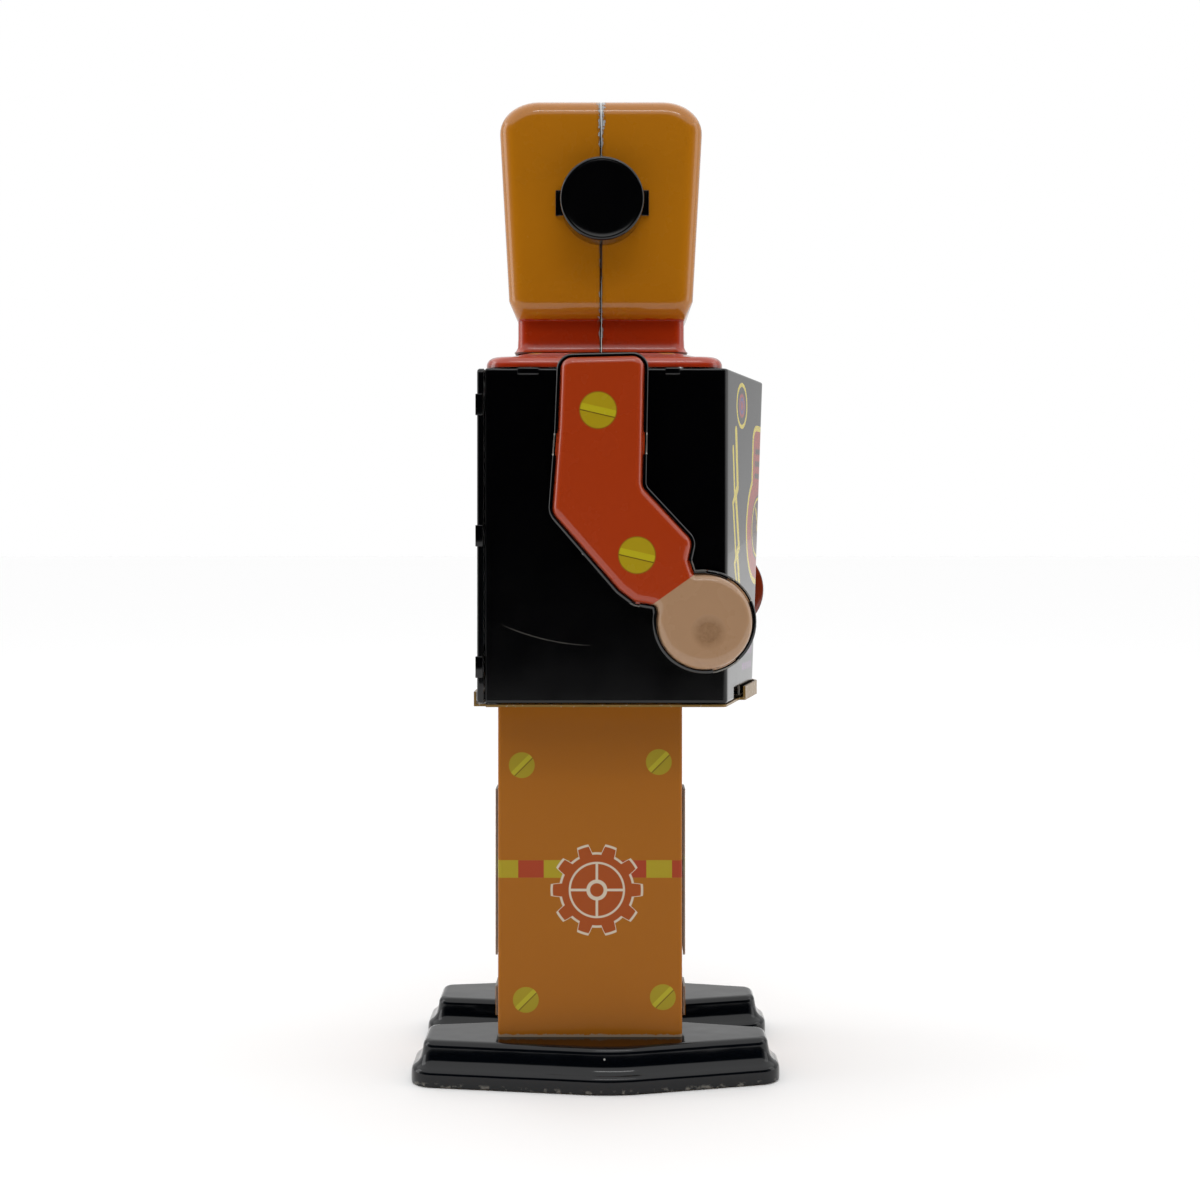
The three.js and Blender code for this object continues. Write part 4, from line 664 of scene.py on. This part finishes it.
chips = skull.under(off_seam, chip_reach, 0.10)
skull.over(chips, (176, 178, 178))
skull.raise_by(chips, -0.03)
skull.raise_by(skull.under(off_seam, 0.6, 1.0), -0.35)
skull.over(skull.under(off_seam, 0.26, 0.16), (26, 20, 16), 0.85)
tin_sheet(skull, wave=0.10)
head_print = skull.done()

EDGE = 3.8  # the round between the side faces and the rest
CROWN_DEEP, CROWN_HIGH = 9.2, 7.4  # the crown's rounds, along the depth and in height
CHIN_HIGH = HEAD_LOW + 4.2

# Columns of a half shell, from the side face over one edge, across the face, to the other side: each
# has a place across and a distance inwards from the shell's outline.
edge_turn = np.linspace(0, math.pi / 2, 10)
edge_across = np.concatenate([[EDGE], EDGE * np.cos(edge_turn)])
edge_inset = np.concatenate([[EDGE + 0.8], EDGE - EDGE * np.sin(edge_turn)])
face_share = np.linspace(1, -1, 15)[1:-1]


def half_depth(z):
    return HEAD_DEEP * (1 - TAPER * (HEAD_HIGH - z))


def over_columns(edge_values, face_values):
    return np.concatenate([edge_values, face_values, edge_values[::-1]])


def head_half(front):
    """A half shell in four patches. The upper one carries the columns along the side outline: up the
    face, round the crown by an ellipse, and back to the seam, each moved in by its inset. The lower
    one is level sections from the neck's foot to the chin. Two flat faces close the sides."""
    inset = over_columns(edge_inset, np.zeros(13))[None, :]
    across = over_columns(HEAD_HALF - EDGE + edge_across, (HEAD_HALF - EDGE) * face_share)
    across[-len(edge_across):] *= -1
    up = np.linspace(CHIN_HIGH, HEAD_HIGH - CROWN_HIGH, 12)[:, None]
    rows_up = (half_depth(up) - inset, up + 0 * inset)
    turn = np.linspace(0, math.pi / 2, 12)[1:, None]
    crown_z = HEAD_HIGH - CROWN_HIGH + (CROWN_HIGH - inset) * np.sin(turn)
    rows_crown = (half_depth(crown_z) - inset - (CROWN_DEEP - inset) * (1 - np.cos(turn)), crown_z)
    run = np.linspace(1, 0, 7)[1:, None]
    last_y, last_z = rows_crown[0][-1:], rows_crown[1][-1:]
    rows_back = (SEAM_HALF + (last_y - SEAM_HALF) * run, last_z + 0 * run)
    y, z = (np.concatenate([u, v, w]) for u, v, w in zip(rows_up, rows_crown, rows_back))
    upper = np.stack([np.broadcast_to(across, y.shape), y, z], -1)

    chin = np.radians(np.linspace(0, 90, 8))
    neck_levels = [NECK_LOW, NECK_LOW + 0.4, NECK_LOW + 1.2, 164.5, HEAD_LOW - 0.6]
    level = np.concatenate([neck_levels, HEAD_LOW + 4.2 * (1 - np.cos(chin))])
    flare = np.concatenate([[0.8, 0.45, 0.1], np.zeros(10)])
    wide = NECK_HALF + flare + (HEAD_HALF - NECK_HALF) * np.concatenate([np.zeros(5), np.sin(chin)])
    grow = np.clip((level - HEAD_LOW) / (CHIN_HIGH - HEAD_LOW), 0, 1)
    deep = NECK_DEEP + flare + (half_depth(CHIN_HIGH) - NECK_DEEP) * grow
    ratio = (2.6 + (EDGE - 2.6) * grow) / EDGE
    x = (wide - EDGE * ratio)[:, None] + ratio[:, None] * edge_across[None, :]
    y = deep[:, None] - ratio[:, None] * edge_inset[None, :]
    face = (wide - EDGE * ratio)[:, None] * face_share[None, :]
    seam_y = np.full((len(level), 1), SEAM_HALF)
    x = np.concatenate([wide[:, None], x, face, -x[:, ::-1], -wide[:, None]], 1)
    y = np.concatenate([seam_y, y, np.broadcast_to(deep[:, None], face.shape), y[:, ::-1], seam_y], 1)
    lower = np.stack([x, y, np.broadcast_to(level[:, None], x.shape)], -1)

    sides = []
    for column, side in ((0, 1), (-1, -1)):
        start = np.array([[side * HEAD_HALF, SEAM_HALF, CHIN_HIGH]])
        loop = np.concatenate([start, upper[:, column]])
        sides.append(loop[None])
    patches = []
    for grid, flat in ((upper, False), (lower, False), (sides[0], True), (sides[1], True)):
        grid = grid.copy()
        grid[..., 1] = NECK_Y + (-grid[..., 1] if front else grid[..., 1])
        patches.append(patch(grid, last=flat))
    return patches


for part, front in (("head_front", True), ("head_back", False)):
    tin_piece(
        part + "_tin", head_half(front), [head_print, bare_tin], "torso", [part],
        away=(0, 0, 190), crease=50, even=False,
    )

# ---------------------------------------------------------------- ear knobs
# Each ear is a turned black knob with a raised rim round a dished face. A black strap behind it goes
# through the head and is bent over inside.
EAR_Y, EAR_Z = 1.7, 193.7
EAR_RADIUS = 9.1
EAR_REACH = 10.3  # from the knob's axis to the ends of its strap
gloss = Finish("black_enamel", BLACK, 0.09, coat=0.3, gloss=0.35)
gloss.over(gloss.cloud(12.0, 3.0), (9, 9, 11), 0.5)
tin_sheet(gloss, wave=0.04)
black_enamel = gloss.done()


def turned(profile, centre, sides=96):
    """A profile of (radius, distance along X) turned about an axis along X: each point goes round by
    cosine and sine of the turn."""
    radius, reach = np.array(profile, float).T
    angle = np.linspace(0, 2 * math.pi, sides, endpoint=False)[None, :]
    y = centre[1] + radius[:, None] * np.cos(angle)
    z = centre[2] + radius[:, None] * np.sin(angle)
    return np.stack([np.broadcast_to(centre[0] + reach[:, None], y.shape), y, z], -1)


def arc_points(centre, radius, start, end, steps):
    """Points on an arc as (radius, height) pairs."""
    angle = np.radians(np.linspace(start, end, steps))
    return [(centre[0] + radius * math.cos(a), centre[1] + radius * math.sin(a)) for a in angle]


knob_profile = (
    [(EAR_RADIUS - 2.0, 0.8), (EAR_RADIUS - 0.6, 0.8)]
    + arc_points((EAR_RADIUS - 0.6, 1.4), 0.6, -90, 0, 5)
    + [(EAR_RADIUS, 4.0), (EAR_RADIUS, 7.6)]
    + arc_points((EAR_RADIUS - 0.6, 7.65), 0.6, 0, 90, 8)
    + [(EAR_RADIUS - 0.8, 8.22), (EAR_RADIUS - 1.0, 8.14), (EAR_RADIUS - 2.4, 8.12)]
    + [(4.0, 8.14), (2.0, 8.16), (0.02, 8.16)]
)
for side, word in SIDES:
    knob = turned([(r, side * h) for r, h in knob_profile], (side * HEAD_HALF, EAR_Y, EAR_Z - 0.4))
    tin_piece(
        word + "_ear_knob_turned", [patch(knob, closed=True, first=True)], [black_enamel], "torso",
        [word + "_ear_knob"], sheet=0, crease=40,
    )
    x_low, x_high = sorted((side * (HEAD_HALF + 0.3), side * (HEAD_HALF + 0.8)))
    strap = [block((x_low, EAR_Y - EAR_REACH, EAR_Z - 2.8), (x_high, EAR_Y + EAR_REACH, EAR_Z + 2.8), 0.1)]
    for end in (-1, 1):
        x_low, x_high = sorted((side * (HEAD_HALF - 2.4), side * (HEAD_HALF + 0.8)))
        y_low, y_high = sorted((EAR_Y + end * EAR_REACH, EAR_Y + end * (EAR_REACH - 0.5)))
        strap.append(block((x_low, y_low, EAR_Z - 2.8), (x_high, y_high, EAR_Z + 2.8), 0.1))
    tin_piece(
        word + "_ear_strap", strap, [black_enamel], "torso", [word + "_ear_clip"],
        sheet=0, crease=30,
    )

# ---------------------------------------------------------------- arms
# Each arm is a pressed red shell with a rounded edge, clenched to a black back plate by its folded
# rim. Screws and a bare hand are printed; the hand has a shallow dimple. It swings on a rivet.
ARM_BACK, ARM_FLANGE, ARM_FACE = 0.8, 2.1, 5.6
ARM_RIM = 1.1
HAND = (22.6, -44.8, 10.0)
hand_from = math.atan2(-34.9 - HAND[1], 19.9 - HAND[0]) - 0.28
hand_to = math.atan2(-41.2 - HAND[1], 12.4 - HAND[0]) + 0.16 - 2 * math.pi
hand_arc = [
    (HAND[0] + HAND[2] * math.cos(a), HAND[1] + HAND[2] * math.sin(a), 0.0, 0)
    for a in np.linspace(hand_from, hand_to, 48)
]
arm_corners = [  # (forward, up, radius) from the shoulder
    (-7.7, 11.2, 2.4),
    (9.7, 11.6, 2.4),
    (9.2, -16.2, 2.8),
    (19.8, -27.6, 2.6),
    (18.9, -31.8, 1.6),
    (19.9, -34.9, 1.2),
    *hand_arc,
    (12.4, -41.2, 1.2),
    (7.8, -40.4, 2.4),
    (4.6, -38.0, 2.6),
    (-9.6, -21.6, 3.2),
    (-8.3, -4.0, 8.0),
]


def arm_finish(name, swing):
    """The arm's print, turned forward with the arm by its swing about the shoulder."""
    art = Finish(name, (166, 55, 16), 0.22, coat=0.8, gloss=0.2, turn=swing, about=(0, *SHOULDER))
    ahead = art.times(art.y, -1.0)
    up = art.z
    for place in ((0.0, 0.0), (8.2, -30.6)):
        head = art.disc(ahead, up, *place, 3.9)
        art.over(head, (170, 146, 24))
        c, s = math.cos(math.radians(-13)) * 4.2, math.sin(math.radians(-13)) * 4.2
        ends = ((place[0] - c, place[1] - s), (place[0] + c, place[1] + s))
        art.over(art.both(head, art.stroke(ahead, up, *ends, 1.5)), (184, 170, 30))
        shade = art.stroke(ahead, up, *[(u, v - 0.75) for u, v in ends], 0.22)
        art.over(art.both(head, shade), (96, 70, 20))
        art.over(art.ring(ahead, up, *place, 3.9, 0.25), (130, 88, 24), 0.7)
    wrist_a, wrist_b = (12.2, -40.5), (20.5, -34.6)
    run = (wrist_b[0] - wrist_a[0], wrist_b[1] - wrist_a[1])
    long = math.hypot(*run)
    off = art.sum(
        "SUBTRACT",
        art.times(art.less(up, wrist_a[1]), run[0] / long),
        art.times(art.less(ahead, wrist_a[0]), run[1] / long),
    )
    hand = art.both(art.under(off, 0.0), art.disc(ahead, up, HAND[0], HAND[1], 14.0))
    art.over(hand, (170, 134, 102))
    from_middle = art.far(ahead, up, HAND[0] + 0.7, HAND[1] - 2.0)
    dimple = art.under(from_middle, 2.9, 1.8)
    # Darker brown in patches inside the hand's dimple: painted shade in the hollow, over the real dip made
    # below.
    art.over(art.both(dimple, art.cloud(1.4, 4.0, 0.7)), (112, 80, 50), 0.9)
    art.raise_by(dimple, -0.22)
    tin_sheet(art, wave=0.09)
    return art.done()


def put_arm(points, side, swing):
    """Points as (forward, up, out) from the shoulder to their place: out from the torso's side, and
    turned forward about the shoulder by the swing."""
    ahead, up, out = points[..., 0], points[..., 1], points[..., 2]
    c, s = math.cos(math.radians(swing)), math.sin(math.radians(swing))
    y, z = -ahead * c + up * s, ahead * s + up * c
    return np.stack([side * (TORSO_HALF + out), SHOULDER[0] + y, SHOULDER[1] + z], -1)


plate = Finish("arm_plate_black_and_red", BLACK, 0.10, coat=0.4)
plate.over(plate.under(plate.size(plate.x), TORSO_HALF + ARM_BACK + 0.12, 0.1), (128, 44, 18))
tin_sheet(plate, wave=0.05)
plate_black = plate.done()

shell_profile = (
    [(3.2, ARM_FACE)]
    + turned_in(1.6, 1.5, ARM_FACE, 7)
    + [(0.0, ARM_FLANGE + 0.3), (-0.1, ARM_FLANGE + 0.05), (-0.5, ARM_FLANGE)]
)
arm_shell_rings = rings(arm_corners, shell_profile, steps=7, pace=1.5)
rim_profile = [
    (0.6, ARM_BACK),
    (-0.7, ARM_BACK),
    (-0.95, ARM_BACK + 0.1),
    (-ARM_RIM, ARM_BACK + 0.4),
    (-ARM_RIM, ARM_FLANGE + 0.1),
    (-1.0, ARM_FLANGE + 0.45),
    (-0.7, ARM_FLANGE + 0.62),
    (-0.25, ARM_FLANGE + 0.55),
]
arm_rim_rings = rings(arm_corners, rim_profile, steps=7, pace=0.6)
rim_gaps = [  # (forward, up, half length, half height) of the breaks between the folded tabs
    (-10, -7, 2.4, 2.4),
    (11, -7, 2.4, 2.4),
    (20.5, -33, 3.0, 1.2),
    (7, -43.5, 1.6, 2.6),
    (31, -38, 3.5, 2.4),
    (27.5, -55, 3.0, 2.2),
]
rim_middles = face_middles(arm_rim_rings, closed=True)
broken = np.zeros(rim_middles.shape[:2], bool)
for ahead, up, half_long, half_high in rim_gaps:
    near = (np.abs(rim_middles[..., 0] - ahead) < half_long) & (np.abs(rim_middles[..., 1] - up) < half_high)
    broken |= near & (rim_middles[..., 2] > ARM_FLANGE - 0.4)

for side, word, swing in ((-1, "right", 0.0), (1, "left", 10.5)):
    arm_red = arm_finish(word + "_arm_red_print", swing)
    tin_piece(
        word + "_arm_pressing", [patch(put_arm(arm_shell_rings, side, swing), closed=True, first=True)],
        [arm_red, bare_tin], word + "_arm", [word + "_arm_shell"],
        away=put_arm(np.array([5.0, -15.0, 0.5]), side, swing), crease=60,
    )
    tin_piece(
        word + "_arm_rim",
        [patch(put_arm(arm_rim_rings, side, swing), closed=True, kept=~broken, first=True)],
        [plate_black, bare_tin], word + "_arm", [word + "_arm_back"], sheet=0.3,
        away=put_arm(np.array([5.0, -15.0, 2.0]), side, swing), crease=50,
    )

# ---------------------------------------------------------------- legs
# Each leg is a pair of folded tin channels, printed before folding with screws, a squared belt and a
# small cog. The inner channel's straps lap over the outer one and pinch the two together.
LEG_OUT, LEG_IN, LEG_SPLIT = 21.4, 1.6, 11.6
LEG_FRONT, LEG_BACK = -16.0, 24.8
LEG_LOW, LEG_HIGH = 9.5, 86.0
BELT = (44.7, 48.6)
BELT_START, BELT_PACE = 20.3, 5.67

leg = Finish("leg_orange_print", (160, 96, 20), 0.16, coat=0.05, gloss=0.12)
leg_across = leg.size(leg.x)
unrolled = leg.plus(leg.y, leg_across)
squares = leg.sum("DIVIDE", leg.less(BELT_START + LEG_OUT, unrolled), BELT_PACE * 2)
belt = leg.band(leg.z, *BELT)
leg.over(belt, (166, 146, 34))
leg.over(leg.both(belt, leg.under(leg.sum("FRACT", squares), 0.5, 0.01)), (160, 62, 32))
on_outside = leg.under(20.9, leg_across)
cog_centre = (2.9, 42.0)
cog_y, cog_z = leg.less(leg.y, cog_centre[0]), leg.less(leg.z, cog_centre[1])
cog_far = leg.far(leg.y, leg.z, *cog_centre)
cog_angle = leg.sum("ARCTAN2", cog_z, cog_y)
tooth_wave = leg.sum("COSINE", leg.times(cog_angle, 10.0))
teeth = leg.times(leg.plus(leg.times(tooth_wave, 1.7), 0.5), 1.0, clamp=True)
cog_edge = leg.less(cog_far, leg.plus(8.0, leg.times(teeth, 1.9)))
CREAM = (206, 192, 170)
leg.over(leg.both(on_outside, leg.under(cog_edge, 0.35)), CREAM)
leg.over(leg.both(on_outside, leg.under(cog_edge, -0.15)), (158, 74, 26))
leg.over(leg.both(on_outside, leg.ring(leg.y, leg.z, *cog_centre, 6.0, 0.45)), CREAM)
leg.over(leg.both(on_outside, leg.disc(leg.y, leg.z, *cog_centre, 2.3)), CREAM)
leg.over(leg.both(on_outside, leg.disc(leg.y, leg.z, *cog_centre, 1.5)), (158, 74, 26))
off_spoke = leg.size(leg.sum("SINE", leg.times(cog_angle, 2.0)))
spokes = leg.both(
    leg.under(off_spoke, leg.sum("DIVIDE", 0.55, cog_far), 0.05),
    leg.band(cog_far, 2.2, 6.0),
)
leg.over(leg.both(on_outside, spokes), CREAM)
for place in ((19.5, 69.6), (-10.8, 70.3), (18.6, 17.7), (-11.7, 18.3)):
    head = leg.both(on_outside, leg.disc(leg.y, leg.z, *place, 2.85))
    leg.over(head, (160, 142, 34))
    reach = 3.2 * math.sqrt(0.5)
    ends = ((place[0] - reach, place[1] + reach), (place[0] + reach, place[1] - reach))
    leg.over(leg.both(head, leg.stroke(leg.y, leg.z, *ends, 1.1)), (178, 166, 42))
    shade = leg.stroke(leg.y, leg.z, *[(u - 0.4, v - 0.4) for u, v in ends], 0.22)
    leg.over(leg.both(head, shade), (110, 84, 22))
rubbed = leg.under(leg.z, leg.plus(LEG_LOW, leg.times(leg.cloud(1.3, 4.0, 0.7), 1.1)), 0.2)
leg.over(rubbed, (150, 140, 124), 0.8)
tin_sheet(leg, wave=0.06)
leg_print = leg.done()

channel_rows = np.concatenate([[LEG_LOW, LEG_LOW + 0.7], np.linspace(LEG_LOW + 4, LEG_HIGH, 20)])


def stacked(x, y, levels):
    """A path in plan repeated at each level."""
    return np.stack([np.column_stack([x, y, np.full(len(x), z)]) for z in levels])


def channel(side, closed_x, open_x):
    """A folded channel: its plan is a path in from the open edge, round two folds and out, carried
    straight up in rows."""
    fold = 0.8
    plan = outline(
        [
            (open_x, LEG_FRONT, 0.0, 0),
            (closed_x, LEG_FRONT, fold),
            (closed_x, LEG_BACK, fold),
            (open_x, LEG_BACK, 0.0, 0),
        ],
        steps=5,
        pace=3.0,
    )
    grid = stacked(side * plan[:, 0], plan[:, 1], channel_rows)
    gone = np.abs(np.abs(face_middles(grid, True)[..., 0]) - open_x) < 0.05
    return grid, ~gone


def strap_sheet(side, low, high, face, out):
    """A strap as a level path stepped outwards over the other channel, carried up from low to high."""
    near = face + out * 0.02
    lap = face + out * 0.9
    path = [(LEG_SPLIT - 4.2, near), (LEG_SPLIT - 3.6, face + out * 0.55), (LEG_SPLIT - 3.0, lap)]
    path += [(LEG_SPLIT + x, lap) for x in np.linspace(-2, 4.2, 6)] + [(LEG_SPLIT + 4.8, face + out * 0.78)]
    x, y = np.array(path).T
    return stacked(side * x, y, [low, low + 0.12, (low + high) / 2, high - 0.12, high])


for side, word in SIDES:
    for part, closed_x, open_x in (("outer", LEG_OUT, LEG_SPLIT + 0.15), ("inner", LEG_IN, LEG_SPLIT - 0.15)):
        grid, kept = channel(side, closed_x, open_x)
        tin_piece(
            f"{word}_leg_{part}_channel", [patch(grid, closed=True, kept=kept)], [leg_print, bare_tin],
            word + "_leg", [f"{word}_leg_{part}"],
            away=(side * (closed_x + open_x * 3) / 4, 4.4, 45), crease=35,
        )
    for place, low, high in (("shin", 26.5, 63.5), ("ankle", 12.9, 19.4)):
        for face, out, where in ((LEG_FRONT, -1, "front"), (LEG_BACK, 1, "back")):
            tin_piece(
                f"{word}_{place}_strap_{where}", [patch(strap_sheet(side, low, high, face, out))],
                [leg_print, bare_tin], word + "_leg", [], sheet=0.45,
                away=(side * LEG_SPLIT, 4.4, (low + high) / 2), crease=40,
            )

# ---------------------------------------------------------------- feet
# Each foot is one deep pressing in tinplate, wide at the waist and narrow at toe and heel, with a
# ledge round it, enamelled glossy black and crimped over a flat sole.
FOOT_X, FOOT_Y, FOOT_LONG = 17.5, 3.1, 81.4
FOOT_HIGH = 9.5
foot = Finish("black_enamel_foot", (2, 4, 7), 0.08, coat=0.3, gloss=0.25)
foot.over(foot.cloud(10.0, 3.0), (7, 9, 14), 0.5)
worn = foot.both(foot.under(foot.z, 1.0, 0.6), foot.under(foot.cloud(1.6, 3.0), 0.42, 0.1))
foot.over(worn, (120, 116, 108), 0.7)
foot.raise_by(foot.cloud(14.0, 2.0), 0.22)
foot.raise_by(foot.cloud(5.0, 1.0), 0.05)
tin_sheet(foot, wave=0.10)
foot_black = foot.done()

toe, heel, waist = FOOT_Y - FOOT_LONG / 2, FOOT_Y + FOOT_LONG / 2, FOOT_Y - 4
foot_profile = (
    [(4.2, FOOT_HIGH)]
    + [(i + 2.6, h) for i, h in turned_in(1.5, 1.5, FOOT_HIGH, 8)]
    + [(2.35, 6.6), (2.1, 5.6), (1.75, 4.9), (1.3, 4.35), (0.8, 3.95), (0.4, 3.65), (0.15, 3.3), (0.04, 2.8)]
    + [(0.0, 2.0), (0.0, 0.9), (0.05, 0.3)]
)
for side, word in SIDES:
    foot_corners = [
        (-6.8, toe, 5.4),
        (-15.6, waist, 34.0),
        (-9.1, heel, 5.4),
        (9.1, heel, 5.4),
        (15.6, waist, 34.0),
        (6.8, toe, 5.4),
    ]
    pressing = rings(foot_corners, foot_profile, steps=12, pace=2.5)
    pressing = np.stack([side * (FOOT_X + pressing[..., 0]), pressing[..., 1], pressing[..., 2]], -1)
    tin_piece(
        word + "_foot_pressing", [patch(pressing, closed=True, first=True)], [foot_black, bare_tin],
        word + "_leg", [word + "_foot_shell"], away=(side * FOOT_X, FOOT_Y, 2),
        crease=60,
    )

# ---------------------------------------------------------------- motor, rivets and key
# The clockwork is mill-finished steel plates and posts, stamped brass wheels, blued spring strip and
# a nickelled key. The rivets and washers at the shoulders are plain.
mill = Finish("mill_steel", (176, 178, 182), 0.34, metallic=1.0)
mill.over(mill.cloud(6.0, 4.0, 0.65), (120, 120, 124), 0.5)
mill.rougher(mill.cloud(0.5, 2.0, 0.5, (0.2, 1, 4)), 0.2)
mill_steel = mill.done()
stamped = Finish("stamped_brass", (198, 160, 82), 0.30, metallic=1.0)
stamped.over(stamped.cloud(3.0, 4.0, 0.7), (128, 92, 40), 0.5)
stamped.rougher(stamped.cloud(0.7, 2.0), 0.2)
stamped_brass = stamped.done()
blued = Finish("blued_spring", (62, 74, 110), 0.26, metallic=1.0)
blued.over(blued.cloud(4.0, 3.0), (40, 40, 60), 0.7)
blued.rougher(blued.cloud(1.0, 2.0), 0.15)
blued_spring = blued.done()
plated = Finish("nickel_plate", (214, 212, 206), 0.16, metallic=1.0)
plated.over(plated.cloud(5.0, 4.0, 0.7), (170, 166, 158), 0.5)
plated.rougher(plated.cloud(1.5, 3.0), 0.14)
plated.raise_by(plated.cloud(9.0, 1.0), 0.03)
nickel_plate = plated.done()

finish_of = {
    "steel": mill_steel,
    "brass": stamped_brass,
    "spring_steel": blued_spring,
    "nickel": nickel_plate,
}
for entry in frame["record"]["subparts"]:
    if entry["material_slot"] in finish_of:
        repaint(finish_of[entry["material_slot"]], entry["node"])

# ---------------------------------------------------------------- floor and light
# A plain pale floor, soft boxes above and to the sides, and a pale surround that stays dim on the
# near side so that the black sheets stay black.
floor_mesh = bpy.data.meshes.new("floor")
floor_mesh.from_pydata([(-0.8, -8, 0), (12, -8, 0), (12, 8, 0), (-0.8, 8, 0)], [], [(0, 1, 2, 3)])
floor = bpy.data.objects.new("floor", floor_mesh)
bpy.context.scene.collection.objects.link(floor)
pale = bpy.data.materials.new("pale_floor")
pale.use_nodes = True
pale.node_tree.nodes["Principled BSDF"].inputs["Base Color"].default_value = (0.92, 0.92, 0.92, 1)
pale.node_tree.nodes["Principled BSDF"].inputs["Roughness"].default_value = 0.9
pale.node_tree.nodes["Principled BSDF"].inputs["Specular IOR Level"].default_value = 0.1
floor_mesh.materials.append(pale)
floor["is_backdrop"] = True


def soft_box(name, place, aim, size, power):
    light = bpy.data.lights.new(name, "AREA")
    light.shape = "RECTANGLE"
    light.size, light.size_y = size
    light.energy = power
    made = bpy.data.objects.new(name, light)
    made.location = home + Vector(place)
    made.rotation_euler = (Vector(aim) - Vector(place)).to_track_quat("-Z", "Y").to_euler()
    bpy.context.scene.collection.objects.link(made)


soft_box("key_box", (-0.75, -0.1, 1.05), (0, 0, 0.10), (0.55, 0.09), 1.25)
soft_box("front_box", (-0.05, -1.1, 0.45), (0, 0, 0.10), (0.5, 0.9), 1.4)
soft_box("back_box", (0.05, 1.1, 0.45), (0, 0, 0.10), (0.5, 0.9), 2.5)

world = bpy.data.worlds.new("surround")
world.use_nodes = True
bpy.context.scene.world = world
tree = world.node_tree
sky = tree.nodes["Background"]
sky.inputs["Color"].default_value = (1, 1, 1, 1)
seen = tree.nodes.new("ShaderNodeBackground")
seen.inputs["Color"].default_value = (1, 1, 1, 1)
direction = tree.nodes.new("ShaderNodeTexCoord")
split = tree.nodes.new("ShaderNodeSeparateXYZ")
tree.links.new(direction.outputs["Generated"], split.inputs[0])


def fade(axis, start, end, dim, bright):
    """Brightness that grows smoothly between two directions along an axis."""
    ramp = tree.nodes.new("ShaderNodeMapRange")
    ramp.interpolation_type = "SMOOTHSTEP"
    for name, value in (("From Min", start), ("From Max", end), ("To Min", dim), ("To Max", bright)):
        ramp.inputs[name].default_value = value
    tree.links.new(split.outputs[axis], ramp.inputs["Value"])
    return ramp.outputs["Result"]


brighter = tree.nodes.new("ShaderNodeMath")
brighter.operation = "MAXIMUM"
tree.links.new(fade("X", -0.75, 0.1, 0.0, 0.7), brighter.inputs[0])
tree.links.new(fade("Z", 0.42, 0.54, 0.0, 1.28), brighter.inputs[1])
tree.links.new(brighter.outputs[0], sky.inputs["Strength"])
ray = tree.nodes.new("ShaderNodeLightPath")
blend = tree.nodes.new("ShaderNodeMixShader")
tree.links.new(ray.outputs["Is Camera Ray"], blend.inputs[0])
tree.links.new(sky.outputs[0], blend.inputs[1])
tree.links.new(seen.outputs[0], blend.inputs[2])
tree.links.new(blend.outputs[0], tree.nodes["World Output"].inputs["Surface"])

bpy.context.scene.view_settings.view_transform = "Standard"

# ---------------------------------------------------------------- sizes
low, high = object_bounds()
